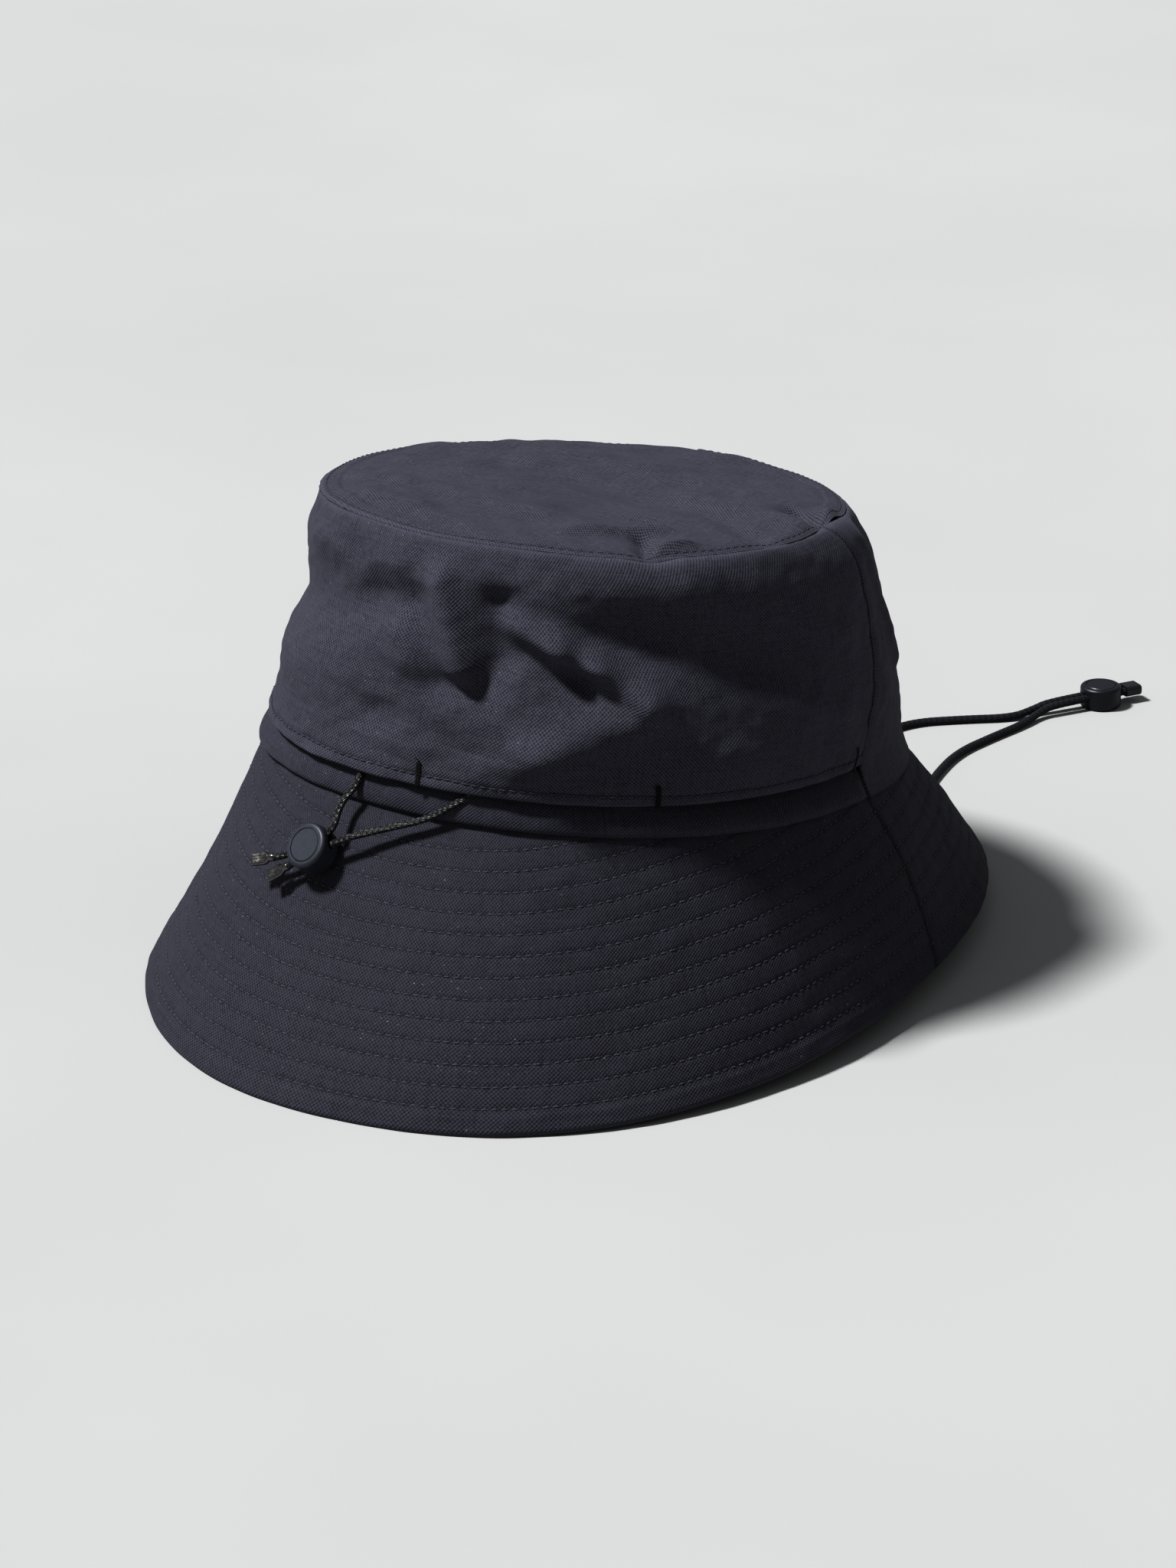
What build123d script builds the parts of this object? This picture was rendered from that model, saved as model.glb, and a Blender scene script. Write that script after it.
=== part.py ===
from build123d import *
import math
import os

# ---------------------------------------------------------------------------
# Bucket hat with a drawcord adjuster at the back and a chin cord.
# Millimetres. +Z up, the hat stands on its brim. -Y is the back of the hat
# (the side with the adjuster), +Y is where the wearer looks.
# Angle PSI runs round the hat from the centre back (-Y) towards +X.
# ---------------------------------------------------------------------------

# driving dimensions
HEAD_X, HEAD_Y = 85.6, 100.4        # half widths of the crown at the flap edge
JOIN_X, JOIN_Y = 89.0, 100.5        # half widths where the brim is sewn on
TOP_X, TOP_Y = 72.8, 78.5           # half widths of the crown top panel
RIM_X, RIM_Y = 112.3, 145.0         # half widths of the brim rim
CROWN_DX, CROWN_DY = 1.6, 4.8       # crown centre from the rim's centre
TOP_DX, TOP_DY = 2.2, 1.3           # top panel centre from the rim's centre
FLAP_Z = 67.0                       # flap edge height at the crown centre
FLAP_TX, FLAP_TY = -0.021, -0.125   # how the flap edge slopes
BAND_H = 9.0                        # visible height of the band below the flap
TOP_Z = 133.4                       # top seam height at its centre
TOP_TY = -0.125                     # how the top panel slopes to the front
OVAL_N = 2.14                       # fullness of the ovals (2 is an ellipse)
SHELL_T = 0.7                       # outer fabric
BAND_T = 0.6
TUNNEL_R = -3.3                     # band face inside the drawcord tunnel
CORD_D = 2.0                        # adjuster drawcord
CHIN_D = 2.5                        # chin cord
BULGE = 1.6                         # outward swell of the crown wall
STEP = 15                           # degrees between sections

LOCK_D, LOCK_H = 13.2, 7.2          # round cord lock
PLUNGER_D, BORE_D = 9.6, 9.8
LOCK_FLOOR = 0.5
SPRING_H = 1.7
TRAVEL = 1.2
SLOT_W, SLOT_Z0, SLOT_Z1 = 5.8, 2.6, 5.3
CORD_Z = 3.95                       # cord centre above the lock's base

os.makedirs("parts", exist_ok=True)

RIM_KNOTS = [(-180, 0.2), (-150, 0.0), (-120, 0.8), (-90, 1.6), (-60, 0.6), (-35, 0.0), (0, 0.0), (15, 0.1),
             (30, 0.9), (50, 3.0), (70, 5.6), (90, 7.4), (105, 7.8), (120, 7.0), (135, 5.9), (150, 5.0),
             (162, 4.4), (168, 3.4), (174, 1.4), (180, 0.2)]


def rim_height(deg):
    a = (deg + 180) % 360 - 180
    for (a0, h0), (a1, h1) in zip(RIM_KNOTS, RIM_KNOTS[1:]):
        if a0 <= a <= a1:
            t = (a - a0) / (a1 - a0)
            t = t * t * (3 - 2 * t) * 0.5 + t * 0.5
            return h0 + (h1 - h0) * t
    return RIM_KNOTS[0][1]


def oval(hx, hy, n, deg):
    s, c = math.sin(math.radians(deg)), math.cos(math.radians(deg))
    r = (abs(c / hy) ** n + abs(s / hx) ** n) ** (-1 / n)
    return r * s, -r * c


def flap_ring(deg):
    x, y = oval(HEAD_X, HEAD_Y, OVAL_N, deg)
    return x + CROWN_DX, y + CROWN_DY, FLAP_Z + FLAP_TX * x + FLAP_TY * y


def join_ring(deg):
    x, y = oval(JOIN_X, JOIN_Y, OVAL_N, deg)
    return x + CROWN_DX, y + CROWN_DY, FLAP_Z - BAND_H + FLAP_TX * x + FLAP_TY * y


def top_ring(deg):
    x, y = oval(TOP_X, TOP_Y, 2.0, deg)
    return x + TOP_DX, y + TOP_DY, TOP_Z + TOP_TY * y


def rim_ring(deg):
    x, y = oval(RIM_X, RIM_Y, 2.16, deg)
    return x, y, RIM_LIFT + rim_height(deg)


RIM_LIFT = 0.45


class Cut:
    """The vertical section plane square to the crown at angle deg."""

    def __init__(self, deg):
        self.deg = deg
        e = 0.05
        x0, y0, _ = flap_ring(deg - e)
        x1, y1, _ = flap_ring(deg + e)
        d = math.hypot(x1 - x0, y1 - y0)
        self.tx, self.ty = (x1 - x0) / d, (y1 - y0) / d     # along the ring
        self.nx, self.ny = self.ty, -self.tx                # outwards
        self.x, self.y, self.z1 = flap_ring(deg)
        self.plane = Plane(origin=(self.x, self.y, 0), x_dir=(self.nx, self.ny, 0), z_dir=(self.ny, -self.nx, 0))
        self.r2, self.z2 = self.meet(join_ring)
        self.r3, self.z3 = self.meet(top_ring)
        self.r4, self.z4 = self.meet(rim_ring)

    def meet(self, ring):
        lo, hi = self.deg - 40, self.deg + 40

        def side(a):
            x, y, _ = ring(a)
            return (x - self.x) * self.tx + (y - self.y) * self.ty

        for _ in range(50):
            mid = (lo + hi) / 2
            if side(mid) > 0:
                hi = mid
            else:
                lo = mid
        x, y, z = ring((lo + hi) / 2)
        return (x - self.x) * self.nx + (y - self.y) * self.ny, z

    def point(self, r, z):
        return Vector(self.x + self.nx * r, self.y + self.ny * r, z)

    # outer face of the crown wall, from the flap edge up, t = 0 to 1
    def wall(self, t):
        return self.r3 * t + BULGE * math.sin(math.pi * t), self.z1 + (self.z3 - 0.9 - self.z1) * t

    # radius of the wall's outer face at a height above the flap edge
    def lean(self, dz):
        t = dz / (self.z3 - 0.9 - self.z1)
        return self.r3 * t + BULGE * math.sin(math.pi * max(t, 0))

    # outer face of the front crown panel below the flap level, t = 0 at the flap level, 1 at the brim seam
    def skirt(self, t):
        return self.r2 * t * t, self.z1 + (self.z2 + 0.4 - self.z1) * t

    # outer face of the brim, t = 0 at the crown, 1 at the rim
    def brim(self, t):
        r0, z0 = self.r2 - 1.0, self.z2 - 0.3
        sag = 1.0 * math.sin(math.pi * t)
        dr, dz = self.r4 - r0, self.z4 - z0
        d = math.hypot(dr, dz)
        return r0 + dr * t - dz / d * sag, z0 + dz * t + dr / d * sag


def shifted(points, off):
    """Points of a face moved square to it: off is outwards when positive. Points run from low to high."""
    out = []
    for i, (r, z) in enumerate(points):
        a, b = points[max(i - 1, 0)], points[min(i + 1, len(points) - 1)]
        dr, dz = b[0] - a[0], b[1] - a[1]
        d = math.hypot(dr, dz)
        out.append((r + dz / d * off, z - dr / d * off))
    return out


def shell(face, outer, inner):
    """Closed outline of a fabric layer between two offsets of a face (drawn in the current sketch)."""
    a, b = shifted(face, outer), shifted(face, inner)
    Spline(*a)
    Line(a[-1], b[-1])
    Spline(*b[::-1])
    Line(b[0], a[0])


def steps(a, b, n):
    return [a + (b - a) * i / n for i in range(n + 1)]


def angles(a, b, step=STEP):
    n = max(2, round((b - a) / step))
    return steps(a, b, n)


print("flap ring back", flap_ring(0), "front", flap_ring(180))

BACK, FRONT = angles(-90, 90), angles(90, 270)

# --- crown ------------------------------------------------------------------

# back crown panel: from the folded flap edge up to the top seam
with BuildPart() as crown_back_panel:
    for a in BACK:
        c = Cut(a)
        with BuildSketch(c.plane):
            with BuildLine():
                shell([c.wall(t) for t in steps(0, 1, 4)], 0, -SHELL_T)
            make_face()
    loft()

# front crown panel: runs on down to the brim seam, with no flap
with BuildPart() as crown_front_panel:
    for a in FRONT:
        c = Cut(a)
        with BuildSketch(c.plane):
            with BuildLine():
                shell([c.skirt(1), c.skirt(0.5)] + [c.wall(t) for t in steps(0, 1, 4)], 0, -SHELL_T)
            make_face()
    loft()

# folded hem facing inside the flap: the second layer of the fold
with BuildPart() as flap_hem:
    for a in angles(-88, 88):
        c = Cut(a)
        with BuildSketch(c.plane):
            with BuildLine():
                shell([c.wall(t) for t in (0.11, 0.16, 0.21)], -SHELL_T - 0.1, -SHELL_T - 0.6)
            make_face()
    loft()

# back band below the flap, its upper part forms the inner wall of the drawcord tunnel
with BuildPart() as back_band:
    for a in angles(-89.8, 89.8):
        c = Cut(a)
        face = [(c.r2 - 0.1, c.z2 + 0.4), (c.r2 * 0.6 - 0.7, c.z1 - 6.0), (TUNNEL_R + 0.35, c.z1 - 2.4),
                (TUNNEL_R + c.lean(1.5), c.z1 + 1.5), (TUNNEL_R + c.lean(7), c.z1 + 7.0), (TUNNEL_R + c.lean(12), c.z1 + 12.0)]
        with BuildSketch(c.plane):
            with BuildLine():
                shell(face, 0, -BAND_T)
            make_face()
    loft()

# crown top panel: a shallow dome cut to the oval of the top seam
top_tilt = math.atan(TOP_TY)
top_plane = Plane(origin=(TOP_DX, TOP_DY, TOP_Z), x_dir=(1, 0, 0), z_dir=(0, -math.sin(top_tilt), math.cos(top_tilt)))
DOME_R = 900.0
DOME_SAG = TOP_Y * TOP_Y / (2 * DOME_R)
with BuildPart() as crown_top_panel:
    with BuildSketch(Plane(origin=top_plane.origin, x_dir=top_plane.x_dir, z_dir=-top_plane.y_dir)):
        with BuildLine():
            far = TOP_Y + 12
            z_far = DOME_SAG - far * far / (2 * DOME_R)
            ThreePointArc((-far, z_far), (0, DOME_SAG), (far, z_far))
            Line((far, z_far), (far, z_far - SHELL_T))
            ThreePointArc((far, z_far - SHELL_T), (0, DOME_SAG - SHELL_T), (-far, z_far - SHELL_T))
            Line((-far, z_far - SHELL_T), (-far, z_far))
        make_face()
        Rectangle(2 * far, 60, align=(Align.MAX, Align.CENTER), mode=Mode.SUBTRACT)
    revolve(axis=Axis(top_plane.origin, top_plane.z_dir), revolution_arc=360)
    with BuildSketch(top_plane):
        Ellipse(TOP_X, TOP_Y / math.cos(top_tilt))
    extrude(amount=30, both=True, mode=Mode.INTERSECT)

# binding tape inside the top seam, a closed ring butted at the centre back
with BuildPart() as top_seam_tape:
    for a in angles(-178.5, 178.5):
        c = Cut(a)
        with BuildSketch(c.plane):
            with BuildLine():
                shell([c.wall(t) for t in (0.83, 0.905, 0.98)], -SHELL_T - 0.15, -SHELL_T - 0.55)
            make_face()
    loft()


def side_tape(centre):
    with BuildPart() as tape:
        for a in (centre - 3.2, centre, centre + 3.2):
            c = Cut(a)
            with BuildSketch(c.plane):
                with BuildLine():
                    shell([c.wall(t) for t in (0.40, 0.53, 0.67, 0.81)], -SHELL_T - 0.15, -SHELL_T - 0.55)
                make_face()
        loft()
    return tape


side_seam_tape_right = side_tape(90)
side_seam_tape_left = side_tape(-90)


# sweatband: ribbon all round the head opening, joined at the centre back
def sweat_face(c):
    """Outer face of the sweatband: inside the band at the back, close to the front panel at the front."""
    k = 0.5 + 0.5 * math.tanh((math.cos(math.radians(c.deg)) + 0.28) / 0.12)
    low = c.z2 + 1.2
    back = [c.r2 - 1.8, c.r2 * 0.6 - 2.5, TUNNEL_R - 1.2 + c.lean(-2), TUNNEL_R - 1.3 + c.lean(4), TUNNEL_R - 1.4 + c.lean(13)]
    u = (c.z1 - low) / (c.z1 - c.z2 - 0.4)
    front = [c.r2 * u * u - 1.8, c.r2 * 0.45 - 1.8, c.r2 * 0.05 - 1.7, c.lean(4) - 1.6, c.lean(13) - 1.6]
    heights = [low, c.z1 - 6.0, c.z1 - 2.0, c.z1 + 4.0, c.z1 + 13.0]
    return [(k * rb + (1 - k) * rf, z) for rb, rf, z in zip(back, front, heights)]


with BuildPart() as sweatband:
    for a in angles(-179, 179, 12):
        c = Cut(a)
        with BuildSketch(c.plane):
            with BuildLine():
                shell(sweat_face(c), 0, -0.8)
            make_face()
    loft()

# --- brim -------------------------------------------------------------------


def brim_layer(a0, a1, t0, t1, outer, inner):
    with BuildPart() as layer:
        for a in angles(a0, a1, 12):
            c = Cut(a)
            span = math.hypot(c.r4 - c.r2, c.z4 - c.z2)
            s0, s1 = t0 / span, 1 - t1 / span
            face = [c.brim(t) for t in steps(s1, s0, 4)]
            with BuildSketch(c.plane):
                with BuildLine():
                    shell(face, outer, inner)
                make_face()
        loft()
    return layer


brim_upper_back = brim_layer(-90, 90, 0, 0, 0, -0.7)
brim_upper_front = brim_layer(90, 270, 0, 0, 0, -0.7)
brim_interlining_back = brim_layer(-89.8, 89.8, 2.5, 7.5, -0.85, -1.35)
brim_interlining_front = brim_layer(90.2, 269.8, 2.5, 7.5, -0.85, -1.35)
brim_under_back = brim_layer(-89.9, 89.9, 0.5, 3.0, -1.5, -2.1)
brim_under_front = brim_layer(90.1, 269.9, 0.5, 3.0, -1.5, -2.1)

# --- small sewn pieces --------------------------------------------------------

# bar tacks: centre back over the flap edge, one at each end of the flap, one on the right half
with BuildPart() as bar_tacks:
    for a, z in ((0, 3.2), (-86, 3.2), (86, 3.2), (38, 3.2)):
        c = Cut(a)
        slope = (c.lean(z + 3) - c.lean(z - 3)) / 6
        with BuildSketch(Plane(origin=c.point(c.lean(z) + 0.22, c.z1 + z), x_dir=(c.tx, c.ty, 0), z_dir=(c.nx, c.ny, -slope))):
            RectangleRounded(1.6, 6.4, 0.5)
        extrude(amount=0.5)

# blank care label under the sweatband, left of the centre back
with BuildPart() as care_label:
    for a in (-34, -30, -26, -22):
        c = Cut(a)
        with BuildSketch(c.plane):
            with BuildLine():
                shell(sweat_face(c)[1:], -1.05, -1.4)
            make_face()
    loft()


# tab of folded tape at each side seam, where the chin cord is sewn in
def chin_tab(deg):
    c = Cut(deg)
    with BuildPart() as tab:
        with BuildSketch(Plane(origin=c.point(-6.9, c.z2 - 6.0), x_dir=(c.tx, c.ty, 0), z_dir=(0, 0, 1))):
            RectangleRounded(8.0, 3.2, 1.2)
        extrude(amount=12.0)
    return tab, c.point(-6.9, c.z2 - 6.0)


chin_tab_right, CHIN_START_R = chin_tab(90)
chin_tab_left, CHIN_START_L = chin_tab(-90)
print("chin starts", CHIN_START_R, CHIN_START_L)

# --- cords --------------------------------------------------------------------


def route_radii(points):
    out = []
    for a, b, c in zip(points, points[1:], points[2:]):
        u, v = b - a, c - b
        turn = math.radians(u.get_angle(v))
        out.append(0.45 * min(u.length, v.length) / math.tan(turn / 2))
    return out


def tube(points, d, name):
    pts = [Vector(*p) for p in points]
    radii = route_radii(pts)
    with BuildPart() as body:
        with BuildLine() as path:
            FilletPolyline(*pts, radius=radii)
        with BuildSketch(Plane(origin=pts[0], z_dir=(pts[1] - pts[0]).normalized())):
            Circle(d / 2)
        sweep()
    length = path.wires()[0].length
    runs = [(b - a).length for a, b in zip(pts, pts[1:])]
    turns = [(b - a).get_angle(c - b) for a, b, c in zip(pts, pts[1:], pts[2:])]
    print(name, "length", round(length, 1), "runs", [round(x, 1) for x in runs], "turns", [round(x) for x in turns],
          "radii", [round(x, 1) for x in radii], "volume ratio",
          round(body.part.volume / (length * math.pi * d * d / 4), 4))
    return body


def ring_point(deg, r, dz):
    c = Cut(deg)
    return c.point(r + (c.lean(dz) if dz > 0 else 0), c.z1 + dz)


# adjuster lock: lies on the brim at the back
LOCK_BASE = Vector(-25.4, -102.9, 57.3)
LOCK_N = Vector(-0.245, -0.787, 0.566).normalized()
RING_T = Vector(0.957, -0.288, 0.012)
RING_T = (RING_T - LOCK_N * RING_T.dot(LOCK_N)).normalized()
DOWN_T = LOCK_N.cross(RING_T).normalized()
if DOWN_T.Z > 0:
    DOWN_T = DOWN_T * -1
HOLE_A = math.radians(40)
LOCK_H_DIR = (RING_T * -math.cos(HOLE_A) + DOWN_T * math.sin(HOLE_A)).normalized()   # the way the cord ends leave
LANE = (RING_T * -math.sin(HOLE_A) - DOWN_T * math.cos(HOLE_A)).normalized()         # towards the left strand's lane
LOCK_C = LOCK_BASE + LOCK_N * CORD_Z
print("lock centre", LOCK_C, "hole", LOCK_H_DIR, "lane", LANE, "normal", LOCK_N)


def lane_point(u, lane, up=0.0):
    return LOCK_C + LOCK_H_DIR * u + LANE * lane + LOCK_N * up


TAIL_L = lane_point(12.2, 2.6, 0.5)
TAIL_R = lane_point(8.6, -1.5, -0.3)

# inside the tunnel, from each side seam to its exit
TUN = -1.85
tunnel_l = [ring_point(a, TUN, 5.0) for a in (-86, -78, -70, -62, -54, -46, -38, -31, -25)] + [ring_point(-19.6, TUN, 4.7), ring_point(-15.2, TUN, 3.2), ring_point(-12.6, TUN, 0.8)]
tunnel_r = [ring_point(a, TUN, 5.0) for a in (86, 78, 70, 62, 54, 46, 38, 30, 23)] + [ring_point(17.4, TUN, 4.6), ring_point(13.2, TUN, 2.9), ring_point(10.7, TUN, 0.9)]
EXIT_L, EXIT_R = tunnel_l[-1], tunnel_r[-1]
drawcord_tunnel_left = tube(tunnel_l, CORD_D, "drawcord_tunnel_left")
drawcord_tunnel_right = tube(tunnel_r, CORD_D, "drawcord_tunnel_right")

dl = (tunnel_l[-1] - tunnel_l[-2]).normalized()
dr = (tunnel_r[-1] - tunnel_r[-2]).normalized()
left_route = [EXIT_L, EXIT_L + dl * 2.4, ring_point(-11.5, -0.2, -5.0), ring_point(-12.6, 3.4, -9.4),
              lane_point(-7.6, 1.05), lane_point(7.4, 1.15), TAIL_L]
right_route = [EXIT_R, EXIT_R + dr * 2.4, ring_point(3.0, 1.1, -6.0), ring_point(-1.5, 4.6, -9.2),
               lane_point(-8.0, -1.35), TAIL_R]
print("LEFT", [tuple(round(v, 2) for v in p) for p in left_route])
print("RIGHT", [tuple(round(v, 2) for v in p) for p in right_route])
drawcord_left = tube(left_route, CORD_D, "drawcord_left")
drawcord_right = tube(right_route, CORD_D, "drawcord_right")


# crimped metal ferrule on each end of the drawcord: round neck, then a flattened paddle
def ferrule(start, axis, up):
    base = Plane(origin=start, x_dir=up.cross(axis).normalized(), z_dir=axis)
    with BuildPart() as part:
        with BuildSketch(base):
            Circle(1.15)
        extrude(amount=2.4)
        with BuildSketch(base.offset(2.0)):
            RectangleRounded(3.7, 1.7, 0.8)
        extrude(amount=5.2)
        chamfer(part.faces().sort_by(Axis(start, axis))[-1].edges(), 0.35)
    return part


end_l = (left_route[-1] - left_route[-2]).normalized()
end_r = (right_route[-1] - right_route[-2]).normalized()
ferrule_left = ferrule(TAIL_L + end_l * 0.02, end_l, LOCK_N)
ferrule_right = ferrule(TAIL_R + end_r * 0.02, end_r, LOCK_N)


# round cord lock: cup with a cross slot, plunger with a slot, spring under it
def lock(base, axis, across):
    """base: centre of the flat bottom; axis: up through the button; across: along the cords."""
    def at(h):
        return Plane(origin=base + axis * h, x_dir=across, z_dir=axis)

    with BuildPart() as body:
        with BuildSketch(Plane(origin=base, x_dir=across, z_dir=across.cross(axis))):
            with BuildLine():
                Polyline((0, 0), (LOCK_D / 2 - 0.9, 0))
                ThreePointArc((LOCK_D / 2 - 0.9, 0), (LOCK_D / 2 - 0.25, 0.45), (LOCK_D / 2, 1.3))
                Line((LOCK_D / 2, 1.3), (LOCK_D / 2, LOCK_H - 1.3))
                ThreePointArc((LOCK_D / 2, LOCK_H - 1.3), (LOCK_D / 2 - 0.3, LOCK_H - 0.35), (LOCK_D / 2 - 1.1, LOCK_H))
                Polyline((LOCK_D / 2 - 1.1, LOCK_H), (BORE_D / 2, LOCK_H), (BORE_D / 2, LOCK_FLOOR), (0, LOCK_FLOOR), (0, 0))
            make_face()
        revolve(axis=Axis(base, axis))
        with BuildSketch(Plane(origin=base + axis * ((SLOT_Z0 + SLOT_Z1) / 2), x_dir=axis.cross(across), z_dir=across)):
            SlotOverall(SLOT_W, SLOT_Z1 - SLOT_Z0)
        extrude(amount=LOCK_D, both=True, mode=Mode.SUBTRACT)
    with BuildPart() as button:
        with BuildSketch(at(LOCK_FLOOR + SPRING_H)):
            Circle(PLUNGER_D / 2)
        extrude(amount=LOCK_H + 0.1 - LOCK_FLOOR - SPRING_H)
        chamfer(button.faces().sort_by(Axis(base, axis))[-1].edges(), 0.3)
        with BuildSketch(Plane(origin=base + axis * ((SLOT_Z0 + SLOT_Z1 + TRAVEL) / 2), x_dir=axis.cross(across), z_dir=across)):
            RectangleRounded(SLOT_W, SLOT_Z1 - SLOT_Z0 + TRAVEL, 1.0)
        extrude(amount=LOCK_D, both=True, mode=Mode.SUBTRACT)
    with BuildPart() as spring:
        turns = 3
        pitch = (SPRING_H - 0.1 - 0.36) / turns
        start = base + axis * (LOCK_FLOOR + 0.05 + 0.18)
        coil = Helix(pitch, pitch * turns, 3.4, center=tuple(start), direction=tuple(axis), mode=Mode.PRIVATE)
        with BuildLine():
            add(coil)
        with BuildSketch(Plane(origin=coil @ 0, z_dir=coil % 0)):
            Circle(0.17)
        sweep(is_frenet=True)
    return body, button, spring


adjuster_lock_body, adjuster_lock_button, adjuster_lock_spring = lock(LOCK_BASE, LOCK_N, LOCK_H_DIR)

# chin cord: both strands run under the front rim, over the surface, into the second lock
CHIN_LOCK = Vector(68.5, 240.5, 0.0)
CHIN_DIR = Vector(0.6, 0.8, 0).normalized()
CHIN_LANE = Vector(-0.8, 0.6, 0).normalized()
FLOOR_Z = CHIN_D / 2 + 0.05


def chin_point(u, lane, z=CORD_Z):
    return CHIN_LOCK + CHIN_DIR * u + CHIN_LANE * lane + Vector(0, 0, z)


chin_a = [CHIN_START_L, CHIN_START_L + Vector(0, 0, -19), (-73.2, 7.5, 8.5), (-67.0, 19.0, FLOOR_Z), (-56.0, 42.0, FLOOR_Z), (-60.0, 70.0, FLOOR_Z),
          (-42.0, 93.0, FLOOR_Z), (-14.0, 98.0, FLOOR_Z), (12.0, 112.0, FLOOR_Z), (27.5, 134.0, FLOOR_Z), (24.0, 157.0, FLOOR_Z),
          (15.5, 176.0, FLOOR_Z), (20.5, 194.5, FLOOR_Z), (35.0, 205.5, FLOOR_Z), (48.5, 214.0, FLOOR_Z),
          chin_point(-24.5, 1.5, 2.1), chin_point(-18.0, 1.35), chin_point(8.4, 1.35)]
chin_b = [CHIN_START_R, CHIN_START_R + Vector(0, 0, -19), (76.0, 8.5, 8.5), (69.0, 19.5, FLOOR_Z), (47.0, 29.0, FLOOR_Z), (24.0, 22.0, FLOOR_Z),
          (2.0, 34.0, FLOOR_Z), (2.0, 58.0, FLOOR_Z), (22.0, 73.0, FLOOR_Z), (44.0, 88.0, FLOOR_Z), (52.0, 112.0, FLOOR_Z),
          (50.5, 135.0, FLOOR_Z), (46.5, 156.0, FLOOR_Z), (45.0, 177.0, FLOOR_Z), (49.5, 195.0, FLOOR_Z), (54.0, 210.0, FLOOR_Z),
          chin_point(-24.0, -1.6, 2.1), chin_point(-18.0, -1.35), chin_point(8.4, -1.35)]
chin_a = [Vector(*p) for p in chin_a]
chin_b = [Vector(*p) for p in chin_b]
print("CHIN_A", [tuple(round(v, 2) for v in p) for p in chin_a])
print("CHIN_B", [tuple(round(v, 2) for v in p) for p in chin_b])
chin_cord_left = tube(chin_a, CHIN_D, "chin_cord_left")
chin_cord_right = tube(chin_b, CHIN_D, "chin_cord_right")
chin_lock_body, chin_lock_button, chin_lock_spring = lock(CHIN_LOCK, Vector(0, 0, 1), CHIN_DIR)

# moulded end that joins both strands behind the lock
with BuildPart() as chin_cord_end:
    end = CHIN_LOCK + CHIN_DIR * 8.42 + Vector(0, 0, CORD_Z)
    with BuildSketch(Plane(origin=end, x_dir=CHIN_LANE, z_dir=CHIN_DIR)):
        RectangleRounded(6.0, 3.4, 1.2)
    extrude(amount=5.6)
    fillet(chin_cord_end.faces().sort_by(Axis(end, CHIN_DIR))[-1].edges(), 0.5)

PIECES = {
    "crown_top_panel": crown_top_panel, "crown_back_panel": crown_back_panel, "crown_front_panel": crown_front_panel,
    "flap_hem": flap_hem, "back_band": back_band, "top_seam_tape": top_seam_tape,
    "side_seam_tape_left": side_seam_tape_left, "side_seam_tape_right": side_seam_tape_right, "sweatband": sweatband,
    "brim_upper_back": brim_upper_back, "brim_upper_front": brim_upper_front,
    "brim_interlining_back": brim_interlining_back, "brim_interlining_front": brim_interlining_front,
    "brim_under_back": brim_under_back, "brim_under_front": brim_under_front,
    "bar_tacks": bar_tacks, "care_label": care_label, "chin_tab_left": chin_tab_left, "chin_tab_right": chin_tab_right,
    "drawcord_tunnel_left": drawcord_tunnel_left, "drawcord_tunnel_right": drawcord_tunnel_right,
    "drawcord_left": drawcord_left, "drawcord_right": drawcord_right,
    "ferrule_left": ferrule_left, "ferrule_right": ferrule_right,
    "adjuster_lock_body": adjuster_lock_body, "adjuster_lock_button": adjuster_lock_button,
    "adjuster_lock_spring": adjuster_lock_spring,
    "chin_cord_left": chin_cord_left, "chin_cord_right": chin_cord_right,
    "chin_lock_body": chin_lock_body, "chin_lock_button": chin_lock_button, "chin_lock_spring": chin_lock_spring,
    "chin_cord_end": chin_cord_end,
}

for label, piece in PIECES.items():
    piece.part.label = label
    export_step(piece.part, f"parts/{label}.step")
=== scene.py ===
import bpy
import math
import numpy as np
from mathutils import Matrix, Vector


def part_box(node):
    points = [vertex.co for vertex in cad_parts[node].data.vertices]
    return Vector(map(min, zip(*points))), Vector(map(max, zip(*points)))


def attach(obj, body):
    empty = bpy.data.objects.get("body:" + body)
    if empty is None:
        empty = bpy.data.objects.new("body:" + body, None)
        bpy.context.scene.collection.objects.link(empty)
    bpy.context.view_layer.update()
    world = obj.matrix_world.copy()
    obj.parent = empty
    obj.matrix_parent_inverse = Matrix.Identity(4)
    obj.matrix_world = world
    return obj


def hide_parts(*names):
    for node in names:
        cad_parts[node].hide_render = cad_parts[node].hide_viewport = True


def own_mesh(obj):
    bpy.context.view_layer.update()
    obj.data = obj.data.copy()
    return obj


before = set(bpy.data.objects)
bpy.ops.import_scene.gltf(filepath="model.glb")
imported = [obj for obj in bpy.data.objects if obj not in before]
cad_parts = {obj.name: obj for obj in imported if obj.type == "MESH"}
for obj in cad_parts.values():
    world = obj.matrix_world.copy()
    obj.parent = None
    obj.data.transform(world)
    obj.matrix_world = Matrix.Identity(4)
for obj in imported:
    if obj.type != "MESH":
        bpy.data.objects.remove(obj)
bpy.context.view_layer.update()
MM = 0.001
scene = bpy.context.scene
scene.view_settings.view_transform = "Standard"
scene.view_settings.gamma = 0.76

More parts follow.
